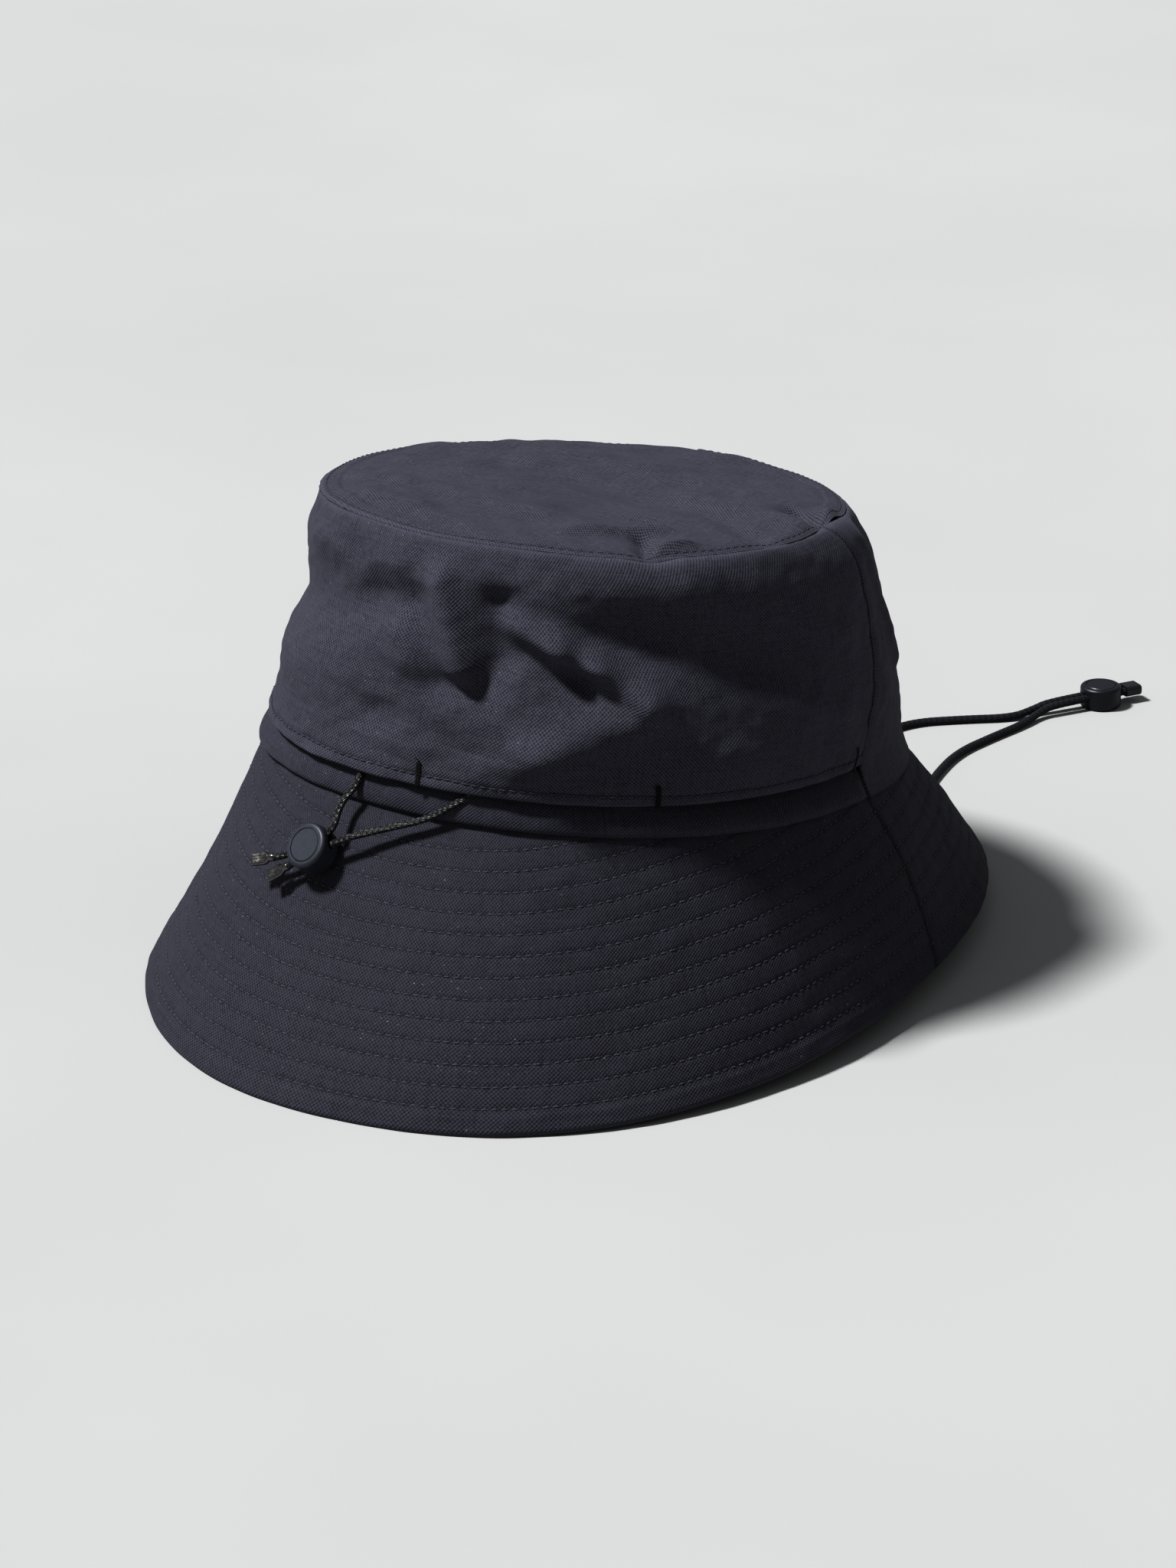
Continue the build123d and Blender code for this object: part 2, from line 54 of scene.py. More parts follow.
# ---------------------------------------------------------------- camera
cam_data = bpy.data.cameras.new("camera")
cam_data.sensor_width = 36.0
cam_data.lens = 117.8414
cam_data.clip_start, cam_data.clip_end = 0.05, 30.0
camera = bpy.data.objects.new("camera", cam_data)
scene.collection.objects.link(camera)
CR, CU, CB = (0.89158, 0.45286, 0.00053), (-0.16804, 0.32973, 0.929), (0.42054, -0.82837, 0.37008)
CP = (0.6253, -1.22352, 0.59284)
camera.matrix_world = Matrix([(CR[i], CU[i], CB[i], CP[i]) for i in range(3)] + [(0, 0, 0, 1)])
scene.camera = camera


# ---------------------------------------------------------------- mesh helpers (all inputs in mm)
def unit(v):
    return v / np.maximum(np.linalg.norm(v, axis=-1, keepdims=True), 1e-12)


def new_mesh(name, verts, quads, uv=None, attrs=None, smooth=True):
    me = bpy.data.meshes.new(name)
    verts = np.asarray(verts, np.float64).reshape(-1, 3) * MM
    quads = np.asarray(quads, np.int32).reshape(-1, 4)
    me.vertices.add(len(verts))
    me.vertices.foreach_set("co", verts.ravel())
    me.loops.add(quads.size)
    me.loops.foreach_set("vertex_index", quads.ravel())
    me.polygons.add(len(quads))
    me.polygons.foreach_set("loop_start", np.arange(0, quads.size, 4, dtype=np.int32))
    me.polygons.foreach_set("use_smooth", np.full(len(quads), smooth))
    if uv is not None:
        layer = me.uv_layers.new(name="UVMap")
        layer.data.foreach_set("uv", (np.asarray(uv, np.float64).reshape(-1, 2) * MM).ravel())
    for key, val in (attrs or {}).items():
        a = me.attributes.new(key, "FLOAT", "POINT")
        a.data.foreach_set("value", np.asarray(val, np.float64).ravel())
    me.update(calc_edges=True)
    me.validate()
    ob = bpy.data.objects.new(name, me)
    scene.collection.objects.link(ob)
    return ob


def normals(P, sign=1.0):
    n = np.cross(np.gradient(P, axis=0), np.gradient(P, axis=1))
    return unit(n) * sign


def arclen(P, axis):
    d = np.linalg.norm(np.diff(P, axis=axis), axis=-1)
    d = d.mean(axis=1 - axis)
    return np.concatenate([[0.0], np.cumsum(d)])


def slab(name, P, Q, attrs=None, flip=False, uv0=(0.0, 0.0)):
    """A layer between two matching grids P (outer) and Q (inner), closed round its border."""
    nu, nv, _ = P.shape
    n = nu * nv
    I, J = np.meshgrid(np.arange(nu - 1), np.arange(nv - 1), indexing="ij")
    U, V = arclen(P, 0) + uv0[0], arclen(P, 1) + uv0[1]
    corners = [(I, J), (I + 1, J), (I + 1, J + 1), (I, J + 1)]
    outer = np.stack([a * nv + b for a, b in corners], -1).reshape(-1, 4)
    ouv = np.stack([np.stack([U[a], V[b]], -1) for a, b in corners], -2).reshape(-1, 4, 2)
    inner = outer[:, ::-1] + n
    iuv = ouv[:, ::-1]
    border, buv = [], []
    i = np.arange(nu - 1)
    j = np.arange(nv - 1)
    for a, b, ua, ub in (
        (i * nv, (i + 1) * nv, (U[i], V[0] + 0 * U[i]), (U[i + 1], V[0] + 0 * U[i])),
        ((i + 1) * nv + nv - 1, i * nv + nv - 1, (U[i + 1], V[-1] + 0 * U[i]), (U[i], V[-1] + 0 * U[i])),
        (j + 1, j, (U[0] + 0 * V[j], V[j + 1]), (U[0] + 0 * V[j], V[j])),
        ((nu - 1) * nv + j, (nu - 1) * nv + j + 1, (U[-1] + 0 * V[j], V[j]), (U[-1] + 0 * V[j], V[j + 1])),
    ):
        border.append(np.stack([b, a, a + n, b + n], -1))
        A, B = np.stack(ua, -1), np.stack(ub, -1)
        buv.append(np.stack([B, A, A + 0.7, B + 0.7], -2))
    quads = np.concatenate([outer, inner] + border)
    uv = np.concatenate([ouv, iuv] + buv)
    if flip:
        quads, uv = quads[:, ::-1], uv[:, ::-1]
    verts = np.concatenate([P.reshape(-1, 3), Q.reshape(-1, 3)])
    return new_mesh(name, verts, quads, uv, attrs)


def tube(name, path, radius, m=16, twist=0.0, relief=None, cap=True, flat=None):
    """A tube of quads along a polyline, radius(s, theta) given by a number or by relief(s, theta)."""
    path = np.asarray(path, float)
    T = unit(np.gradient(path, axis=0))
    up = np.array([0.0, 0.0, 1.0])
    if abs(T[0] @ up) > 0.9:
        up = np.array([1.0, 0.0, 0.0])
    A = np.zeros_like(path)
    a = unit(up - T[0] * (up @ T[0]))
    for k in range(len(path)):
        a = unit(a - T[k] * (a @ T[k]))
        A[k] = a
    B = np.cross(T, A)
    s = np.concatenate([[0], np.cumsum(np.linalg.norm(np.diff(path, axis=0), axis=1))])
    th = np.arange(m) * 2 * math.pi / m
    S, TH = np.meshgrid(s, th, indexing="ij")
    R = radius * np.ones_like(S) if relief is None else relief(S, TH)
    ca, sa = np.cos(TH), np.sin(TH)
    if flat is not None:
        sa = sa * flat
    V = path[:, None] + R[..., None] * (ca[..., None] * B[:, None] + sa[..., None] * A[:, None])
    n = len(path)
    I, J = np.meshgrid(np.arange(n - 1), np.arange(m), indexing="ij")
    K = (J + 1) % m
    quads = np.stack([I * m + J, I * m + K, (I + 1) * m + K, (I + 1) * m + J], -1).reshape(-1, 4)
    circ = 2 * math.pi * radius
    uv = np.stack([np.stack([J / m * circ, s[I]], -1), np.stack([(J + 1) / m * circ, s[I]], -1),
                   np.stack([(J + 1) / m * circ, s[I + 1]], -1), np.stack([J / m * circ, s[I + 1]], -1)], -2).reshape(-1, 4, 2)
    V = V.reshape(-1, 3)
    if cap:
        h = m // 2
        caps = []
        for base, rev in ((0, True), ((n - 1) * m, False)):
            for k in range(h - 1):
                q = [base + k, base + k + 1, base + (m - 2 - k), base + (m - 1 - k)]
                caps.append(q[::-1] if rev else q)
        quads = np.concatenate([quads, np.array(caps)])
        uv = np.concatenate([uv, np.zeros((len(caps), 4, 2))])
    ob = new_mesh(name, V, quads, uv, {"along": (S / max(s[-1], 1e-9)).ravel(), "relief": (R / radius).ravel()})
    return ob


def resample(P, step=None, n=None, *more):
    P = np.asarray(P, float)
    s = np.concatenate([[0], np.cumsum(np.linalg.norm(np.diff(P, axis=0), axis=1))])
    if n is None:
        n = max(3, int(round(s[-1] / step)) + 1)
    q = np.linspace(0, s[-1], n)
    out = [np.stack([np.interp(q, s, A[:, k]) for k in range(A.shape[1])], -1) for A in (P, *more)]
    return out[0] if not more else out


def route(points):
    """The smooth line of a cord, read from one NURBS spline whose control points are its route."""
    cu = bpy.data.curves.new("route", "CURVE")
    cu.dimensions = "3D"
    cu.resolution_u = 24
    sp = cu.splines.new("NURBS")
    sp.points.add(len(points) - 1)
    for p, q in zip(sp.points, points):
        p.co = (q[0] * MM, q[1] * MM, q[2] * MM, 1.0)
    sp.order_u = 3
    sp.use_endpoint_u = True
    ob = bpy.data.objects.new("route", cu)
    scene.collection.objects.link(ob)
    bpy.context.view_layer.update()
    me = bpy.data.meshes.new_from_object(ob.evaluated_get(bpy.context.evaluated_depsgraph_get()))
    P = np.empty(len(me.vertices) * 3)
    me.vertices.foreach_get("co", P)
    bpy.data.meshes.remove(me)
    bpy.data.objects.remove(ob)
    return P.reshape(-1, 3) / MM


# ---------------------------------------------------------------- materials
class Nodes:
    def __init__(self, name):
        self.mat = bpy.data.materials.new(name)
        self.mat.use_nodes = True
        self.t = self.mat.node_tree
        self.t.nodes.clear()
        self.out = self.t.nodes.new("ShaderNodeOutputMaterial")
        self.b = self.t.nodes.new("ShaderNodeBsdfPrincipled")
        self.t.links.new(self.b.outputs[0], self.out.inputs[0])

    def new(self, kind, **kw):
        n = self.t.nodes.new("ShaderNode" + kind)
        for k, v in kw.items():
            setattr(n, k, v)
        return n

    def put(self, sock, val):
        if hasattr(val, "is_linked") or isinstance(val, bpy.types.NodeSocket):
            self.t.links.new(val, sock)
        else:
            sock.default_value = val

    def math(self, op, a, b=0.0, c=None, clamp=False):
        n = self.new("Math", operation=op, use_clamp=clamp)
        self.put(n.inputs[0], a)
        self.put(n.inputs[1], b)
        if c is not None:
            self.put(n.inputs[2], c)
        return n.outputs[0]

    def noise(self, vec, scale, detail=3.0, rough=0.55):
        n = self.new("TexNoise")
        if vec is not None:
            self.put(n.inputs["Vector"], vec)
        n.inputs["Scale"].default_value = scale
        n.inputs["Detail"].default_value = detail
        n.inputs["Roughness"].default_value = rough
        return n.outputs["Fac"]

    def span(self, val, a, b, c=0.0, d=1.0):
        n = self.new("MapRange", clamp=True)
        self.put(n.inputs[0], val)
        for k, v in zip((1, 2, 3, 4), (a, b, c, d)):
            n.inputs[k].default_value = v
        return n.outputs[0]

    def mix(self, fac, a, b):
        n = self.new("Mix", data_type="RGBA")
        self.put(n.inputs[0], fac)
        self.put(n.inputs[6], a if not isinstance(a, tuple) else (*a, 1.0)[:4])
        self.put(n.inputs[7], b if not isinstance(b, tuple) else (*b, 1.0)[:4])
        return n.outputs[2]

    def bump(self, height, strength, distance, normal=None):
        n = self.new("Bump")
        n.inputs["Strength"].default_value = strength
        n.inputs["Distance"].default_value = distance
        self.put(n.inputs["Height"], height)
        if normal is not None:
            self.put(n.inputs["Normal"], normal)
        return n.outputs[0]

    def set(self, **kw):
        for k, v in kw.items():
            self.put(self.b.inputs[k.replace("_", " ")], v)


def fabric(name, base, pitch=0.00053, bump=0.8, rough=0.84, lint=1.0, rib=False, sheen=0.035, warp=1.0):
    """Plain-woven cloth: threads over and under along both UV directions, slubs, lint and slow colour drift."""
    m = Nodes(name)
    uvn = m.new("UVMap", uv_map="UVMap")
    obj = m.new("TexCoord").outputs["Object"]
    # threads wander a little
    wob = m.new("TexNoise")
    m.put(wob.inputs["Vector"], uvn.outputs[0])
    wob.inputs["Scale"].default_value = 180.0
    wob.inputs["Detail"].default_value = 1.0
    off = m.new("VectorMath", operation="MULTIPLY_ADD")
    m.put(off.inputs[0], wob.outputs["Color"])
    off.inputs[1].default_value = (0.00022 * warp,) * 3
    m.put(off.inputs[2], uvn.outputs[0])
    sep = m.new("SeparateXYZ")
    m.put(sep.inputs[0], off.outputs[0])
    k = math.pi / pitch
    su = m.math("SINE", m.math("MULTIPLY", sep.outputs[0], k))
    sv = m.math("SINE", m.math("MULTIPLY", sep.outputs[1], k * (0.45 if rib else 1.0)))
    if rib:
        height = m.math("MULTIPLY_ADD", m.math("ABSOLUTE", su), 0.8, m.math("MULTIPLY", m.math("ABSOLUTE", sv), 0.2))
    else:
        prod = m.math("MULTIPLY", su, sv)
        height = m.math("MULTIPLY_ADD", prod, 0.5, 0.5)
    # slubs: uneven threads along each direction
    mu = m.new("Mapping")
    m.put(mu.inputs[0], uvn.outputs[0])
    mu.inputs["Scale"].default_value = (80.0, 1900.0, 1.0)
    mv = m.new("Mapping")
    m.put(mv.inputs[0], uvn.outputs[0])
    mv.inputs["Scale"].default_value = (1900.0, 80.0, 1.0)
    slub = m.math("MULTIPLY_ADD", m.noise(mu.outputs[0], 1.0, 2.0), 0.5, m.math("MULTIPLY", m.noise(mv.outputs[0], 1.0, 2.0), 0.5))
    drift = m.noise(obj, 22.0, 4.0, 0.6)
    fine = m.noise(obj, 900.0, 3.0, 0.7)
    # lint: sparse pale specks and short hairs
    vor = m.new("TexVoronoi")
    m.put(vor.inputs["Vector"], obj)
    vor.inputs["Scale"].default_value = 330.0
    spk = m.math("MULTIPLY", m.span(vor.outputs["Distance"], 0.10, 0.03), m.span(m.noise(obj, 60.0, 2.0), 0.50, 0.62))
    hair = m.new("Mapping")
    m.put(hair.inputs[0], obj)
    hair.inputs["Rotation"].default_value = (0.4, 0.9, 0.6)
    hair.inputs["Scale"].default_value = (260.0, 900.0, 700.0)
    hv = m.new("TexVoronoi")
    m.put(hv.inputs["Vector"], hair.outputs[0])
    hv.inputs["Scale"].default_value = 1.0
    hr = m.math("MULTIPLY", m.span(hv.outputs["Distance"], 0.13, 0.04), m.span(m.noise(obj, 45.0, 2.0), 0.52, 0.62))
    lintf = m.math("MULTIPLY", m.math("MAXIMUM", spk, hr), 0.70 * lint, clamp=True)
    # worn edges carried by the mesh; on the band the same attribute is a painted highlight along its roll
    wear = m.new("Attribute", attribute_name="wear").outputs["Fac"]
    tone = m.math("MULTIPLY_ADD", m.span(drift, 0.3, 0.7), 0.12, m.span(slub, 0.36, 0.64, 0.72, 1.18))
    # painted shade: the hollows of the weave are coloured darker than the thread crests
    tone = m.math("MULTIPLY", tone, m.span(height, 0.05, 0.80, 0.34, 1.32))
    tone = m.math("MULTIPLY", tone, m.span(fine, 0.33, 0.67, 0.74, 1.24))
    dark = tuple(c * 0.22 for c in base)
    light = tuple(c * 1.30 for c in base)
    col = m.mix(m.span(tone, 0.30, 1.10), dark, light)
    col = m.mix(m.math("MULTIPLY", wear, 0.5, clamp=True), col, tuple(min(1.0, c * 1.7 + 0.004) for c in base))
    # painted shade: colour darkened in seam dips, topstitch grooves, stitch-row grooves and between stitches, carried
    # by the mesh
    crease_shade = m.new("Attribute", attribute_name="crease_shade").outputs["Fac"]
    col = m.mix(m.math("MULTIPLY", crease_shade, 0.75, clamp=True), col, tuple(c * 0.12 for c in base))
    col = m.mix(lintf, col, (0.16, 0.16, 0.19))
    m.set(Base_Color=col, Roughness=m.span(fine, 0.2, 0.8, rough - 0.08, rough + 0.08))
    m.b.inputs["Sheen Weight"].default_value = sheen
    m.b.inputs["Sheen Roughness"].default_value = 0.45
    m.b.inputs["Sheen Tint"].default_value = (0.72, 0.74, 0.95, 1.0)
    m.b.inputs["Specular IOR Level"].default_value = 0.12
    soft = m.bump(m.noise(obj, 190.0, 4.0, 0.62), 0.35, 0.0008)
    h = m.math("MULTIPLY_ADD", slub, 0.5, height)
    m.set(Normal=m.bump(h, bump, 0.00020, soft))
    return m.mat


def thread(name, base, rough=0.6):
    m = Nodes(name)
    uvn = m.new("UVMap", uv_map="UVMap")
    sep = m.new("SeparateXYZ")
    m.put(sep.inputs[0], uvn.outputs[0])
    ph = m.math("MULTIPLY_ADD", sep.outputs[0], 9000.0, m.math("MULTIPLY", sep.outputs[1], 9000.0))
    tw = m.math("SINE", ph)
    obj = m.new("TexCoord").outputs["Object"]
    n = m.noise(obj, 500.0, 2.0)
    # painted shade: the twist grooves are coloured darker and the ply crests lighter, over random tone
    col = m.mix(m.span(m.math("MULTIPLY_ADD", n, 0.8, m.math("MULTIPLY", tw, 0.25)), 0.1, 0.8), tuple(c * 0.5 for c in base), tuple(c * 1.5 for c in base))
    m.set(Base_Color=col, Roughness=m.span(n, 0.3, 0.7, rough - 0.1, rough + 0.1))
    m.b.inputs["Sheen Weight"].default_value = 0.02
    m.b.inputs["Specular IOR Level"].default_value = 0.12
    m.set(Normal=m.bump(tw, 0.5, 0.00008))
    return m.mat


def braid(name, dark, light, pale_fleck_and_glint, rough, carriers, pitch, radius, spec=0.45):
    """Braided cord: carriers crossing both ways, some of them paler; painted shade darkens its grooves and the pale
    flecks are partly a painted highlight.
    """
    m = Nodes(name)
    uvn = m.new("UVMap", uv_map="UVMap")
    sep = m.new("SeparateXYZ")
    m.put(sep.inputs[0], uvn.outputs[0])
    th = m.math("MULTIPLY", sep.outputs[0], 1.0 / (radius * MM))
    sp = m.math("MULTIPLY", sep.outputs[1], 2 * math.pi / (pitch * MM))
    a = m.math("MULTIPLY_ADD", th, carriers / 2.0, sp)
    b = m.math("SUBTRACT", m.math("MULTIPLY", th, carriers / 2.0), sp)
    ha = m.math("ABSOLUTE", m.math("SINE", a))
    hb = m.math("ABSOLUTE", m.math("SINE", b))
    over = m.span(m.math("MULTIPLY", m.math("SINE", a), m.math("SINE", b)), -0.1, 0.1)
    height = m.math("MAXIMUM", m.math("MULTIPLY", ha, over), m.math("MULTIPLY", hb, m.math("SUBTRACT", 1.0, over)))
    obj = m.new("TexCoord").outputs["Object"]
    strand = m.noise(uvn.outputs[0], 2600.0, 2.0)
    # pale carriers, partly real paler threads and partly a painted highlight standing in for their glints
    fleck_glint_mask = m.math("MULTIPLY", m.span(m.math("SINE", m.math("MULTIPLY", a, 0.5)), 0.55, 0.85), over)
    fleck_glint_mask = m.math("MULTIPLY", fleck_glint_mask, m.span(strand, 0.35, 0.6))
    # painted shade: carriers coloured darker in the grooves and lighter on their crests
    col = m.mix(m.span(height, 0.1, 0.95), dark, light)
    col = m.mix(m.math("MULTIPLY", fleck_glint_mask, pale_fleck_and_glint[3], clamp=True), col, pale_fleck_and_glint[:3])
    m.set(Base_Color=col, Roughness=m.span(strand, 0.3, 0.7, rough - 0.1, rough + 0.12))
    m.b.inputs["Sheen Weight"].default_value = 0.01
    m.b.inputs["Specular IOR Level"].default_value = spec
    m.set(Normal=m.bump(height, 0.7, 0.0002, m.bump(m.noise(obj, 900.0, 2.0), 0.2, 0.0002)))
    return m.mat


def plastic(name, base, rough, bump=0.15, wear=0.3, spec=0.4, coat=0.0):
    """Moulded plastic with a fine satin grain, faint scuffs and paler worn edges."""
    m = Nodes(name)
    obj = m.new("TexCoord").outputs["Object"]
    grain = m.noise(obj, 2600.0, 3.0, 0.6)
    cloud = m.noise(obj, 180.0, 4.0, 0.6)
    scr = m.new("Mapping")
    m.put(scr.inputs[0], obj)
    scr.inputs["Rotation"].default_value = (0.3, 0.5, 0.9)
    scr.inputs["Scale"].default_value = (150.0, 4200.0, 1500.0)
    scratch = m.span(m.noise(scr.outputs[0], 1.0, 2.0), 0.66, 0.74)
    point = m.new("NewGeometry").outputs["Pointiness"]
    edge = m.span(point, 0.52, 0.62)
    col = m.mix(m.span(cloud, 0.3, 0.7), tuple(c * 0.82 for c in base), tuple(c * 1.15 for c in base))
    worn = m.math("MULTIPLY", m.math("MAXIMUM", m.math("MULTIPLY", scratch, 0.6), edge), wear, clamp=True)
    col = m.mix(worn, col, tuple(min(1, c * 2.0 + 0.03) for c in base))
    r = m.math("MULTIPLY_ADD", scratch, 0.15, m.span(grain, 0.3, 0.7, rough - 0.07, rough + 0.07))
    m.set(Base_Color=col, Roughness=r)
    m.b.inputs["Specular IOR Level"].default_value = spec
    m.b.inputs["Coat Weight"].default_value = coat
    m.set(Normal=m.bump(grain, bump, 0.00006))
    return m.mat


def metal(name, base, rough):
    m = Nodes(name)
    obj = m.new("TexCoord").outputs["Object"]
    brush = m.new("Mapping")
    m.put(brush.inputs[0], obj)
    brush.inputs["Scale"].default_value = (900.0, 900.0, 3800.0)
    n = m.noise(brush.outputs[0], 1.0, 3.0)
    pit = m.noise(obj, 1500.0, 3.0)
    col = m.mix(m.span(pit, 0.3, 0.75), tuple(c * 0.6 for c in base), base)
    m.set(Base_Color=col, Roughness=m.span(n, 0.3, 0.7, rough - 0.08, rough + 0.14))
    m.b.inputs["Metallic"].default_value = 1.0
    m.set(Normal=m.bump(n, 0.12, 0.00006))
    return m.mat


NAVY = (0.0375, 0.0370, 0.0500)
M = {
    "cloth": fabric("navy_plain_weave", NAVY),
    "brim": fabric("navy_weave_brim", (0.0240, 0.0236, 0.0325)),
    "inner": fabric("navy_weave_inside", (0.0240, 0.0235, 0.0340), lint=0.6),
    "band": fabric("navy_band_weave", (0.0270, 0.0266, 0.0370)),
    "tape": fabric("seam_binding", (0.016, 0.016, 0.022), pitch=0.0005, rib=True, bump=0.7, lint=0.5),
    "knit": fabric("sweatband_knit", (0.013, 0.0135, 0.018), pitch=0.0006, rib=True, bump=0.8, lint=0.5, sheen=0.25),
    "stiff": fabric("interlining", (0.15, 0.15, 0.155), pitch=0.0006, lint=0.2),
    "label": fabric("label_satin", (0.22, 0.22, 0.22), pitch=0.00022, bump=0.3, rough=0.5, lint=0.1, sheen=0.3),
    "thread": thread("navy_thread", (0.0440, 0.0450, 0.0600)),
    "tack": thread("bar_tack_thread", (0.0012, 0.0012, 0.0016)),
    # braid colours: the dark and light ends are painted shade in the grooves and light on the crests; the third is pale
    # carriers plus a painted highlight for their glints
    "elastic": braid("elastic_braid", (0.0008, 0.0008, 0.0010), (0.0036, 0.0036, 0.0050), (0.13, 0.13, 0.14, 0.8), 0.36, 16, 3.4, 1.0, 0.30),
    "cord": braid("chin_cord_braid", (0.003, 0.003, 0.004), (0.016, 0.016, 0.022), (0.03, 0.03, 0.04, 0.25), 0.62, 16, 4.0, 1.25, 0.15),
    "lock": plastic("slate_soft_plastic", (0.0125, 0.0155, 0.0225), 0.46, spec=0.3),
    "button": plastic("slate_button_plastic", (0.0150, 0.0185, 0.0265), 0.42, spec=0.3),
    "navyplastic": plastic("navy_plastic", (0.0045, 0.005, 0.009), 0.42, wear=0.12, spec=0.3),
    "tab": plastic("black_end_plastic", (0.004, 0.004, 0.006), 0.38, wear=0.15),
    "gunmetal": metal("gunmetal", (0.17, 0.165, 0.16), 0.20),
    "steel": metal("spring_steel", (0.55, 0.55, 0.57), 0.25),
}


def dress(ob, mat, body=None, nodes=()):
    ob.data.materials.clear()
    ob.data.materials.append(M[mat])
    if body:
        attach(ob, body)
    if nodes:
        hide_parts(*nodes)
    return ob


# ---------------------------------------------------------------- cords (routes as in the CAD, mm)
LEFT = [(-19.77, -91.07, 80.49), (-17.81, -92.3, 79.37), (-18.4, -95.3, 75.2), (-21.6, -98.9, 70.6), (-20.57, -104.4, 64.29), (-33.1, -106.27, 56.26), (-37.94, -106.41, 54.86)]
RIGHT = [(19.81, -91.79, 79.83), (17.0, -92.9, 78.8), (11.6, -95.9, 75.2), (5.6, -98.4, 71.2), (-2.4, -100.9, 68.6), (-9.5, -103.4, 66.4), (-19.04, -105.79, 63.01), (-32.7, -107.79, 53.79)]
CHIN_A = [(-77.1, 4.8, 53.87), (-77.1, 4.8, 34.87), (-73.2, 7.5, 8.5), (-67.0, 19.0, 1.3), (-56.0, 42.0, 1.3), (-60.0, 70.0, 1.3), (-42.0, 93.0, 1.3), (-14.0, 98.0, 1.3), (12.0, 112.0, 1.3), (27.5, 134.0, 1.3), (24.0, 157.0, 1.3), (15.5, 176.0, 1.3), (20.5, 194.5, 1.3), (35.0, 205.5, 1.3), (48.5, 214.0, 1.3), (52.6, 221.8, 2.1), (56.62, 226.91, 3.95), (72.46, 248.03, 3.95)]
CHIN_B = [(80.3, 4.8, 50.13), (80.3, 4.8, 31.13), (76.0, 8.5, 8.5), (69.0, 19.5, 1.3), (47.0, 29.0, 1.3), (24.0, 22.0, 1.3), (2.0, 34.0, 1.3), (2.0, 58.0, 1.3), (22.0, 73.0, 1.3), (44.0, 88.0, 1.3), (52.0, 112.0, 1.3), (50.5, 135.0, 1.3), (46.5, 156.0, 1.3), (45.0, 177.0, 1.3), (49.5, 195.0, 1.3), (54.0, 210.0, 1.3), (55.38, 220.34, 2.1), (58.78, 225.29, 3.95), (74.62, 246.41, 3.95)]


def relief(radius, carriers, pitch, depth):
    def f(S, TH):
        a = TH * carriers / 2 + 2 * math.pi * S / pitch
        b = TH * carriers / 2 - 2 * math.pi * S / pitch
        over = np.sin(a) * np.sin(b) > 0
        h = np.where(over, np.abs(np.sin(a)), np.abs(np.sin(b)))
        return radius * (1 - depth + depth * h)
    return f


for name, pts, dia, step, m, mat, slot, far, length in (
        ("drawcord_left", LEFT, 2.0, 0.14, 32, "elastic", "elastic_cord", "ferrule_left", 0.0418),
        ("drawcord_right", RIGHT, 2.0, 0.14, 32, "elastic", "elastic_cord", "ferrule_right", 0.0612),
        ("chin_cord_left", CHIN_A, 2.5, 0.32, 24, "cord", "chin_cord", "chin_cord_end", 0.360),
        ("chin_cord_right", CHIN_B, 2.5, 0.32, 24, "cord", "chin_cord", "chin_cord_end", 0.365)):
    line = resample(route(pts), step)
    ob = tube(name + "_braid", line, dia / 2, m, relief=relief(dia / 2, 16, 3.4 if dia < 2.2 else 4.0, 0.08))
    dress(ob, mat, "hat", (name,))

# ---------------------------------------------------------------- the hat's own lines (mm, degrees)
HEAD, JOIN, TOPR, RIM = (85.6, 100.4), (89.0, 100.5), (72.8, 78.5), (112.3, 145.0)
KNOTS = [(-180, 0.2), (-150, 0.0), (-120, 0.8), (-90, 1.6), (-60, 0.6), (-35, 0.0), (0, 0.0), (15, 0.1), (30, 0.9), (50, 3.0), (70, 5.6), (90, 7.4), (105, 7.8), (120, 7.0), (135, 5.9), (150, 5.0), (162, 4.4), (168, 3.4), (174, 1.4), (180, 0.2)]


def rim_height(d):
    a = (np.asarray(d, float) + 180) % 360 - 180
    out = np.zeros_like(a)
    for (a0, h0), (a1, h1) in zip(KNOTS, KNOTS[1:]):
        t = (a - a0) / (a1 - a0)
        out = np.where((t >= 0) & (t <= 1), h0 + (h1 - h0) * (t * t * (3 - 2 * t) * 0.5 + t * 0.5), out)
    return out


def oval(h, n, d):
    r = np.radians(d)
    s, c = np.sin(r), np.cos(r)
    q = (np.abs(c / h[1]) ** n + np.abs(s / h[0]) ** n) ** (-1 / n)
    return q * s, -q * c


def wrap(d):
    return (np.asarray(d, float) + 180) % 360 - 180


def bell(x, c, w):
    return np.exp(-((x - c) / w) ** 2)


def flap_ring(d):
    x, y = oval(HEAD, 2.14, d)
    return np.stack([x + 1.6, y + 4.8, 67 - 0.021 * x - 0.125 * y], -1)


def join_ring(d):
    x, y = oval(JOIN, 2.14, d)
    return np.stack([x + 1.6, y + 4.8, 58 - 0.021 * x - 0.125 * y], -1)


def top_drop(d):
    """How far the top seam sits above (+) or below (-) its even oval."""
    a = wrap(d)
    return (-0.4 * bell(a, 35, 17) - 1.2 * bell(a, 41, 4.5) + 1.6 * bell(a, -24, 24) + 1.0 * bell(a, 12, 20)
            + 2.0 * bell(a, 98, 10) - 1.4 * bell(a, -150, 40) - 0.5 * bell(a, 150, 25))


def top_ring(d):
    x, y = oval(TOPR, 2.0, d)
    return np.stack([x + 2.2, y + 1.3, 133.4 - 0.125 * y + top_drop(d)], -1)


def rim_ring(d):
    x, y = oval(RIM, 2.16, d)
    return np.stack([x, y, 0.45 + rim_height(d)], -1)


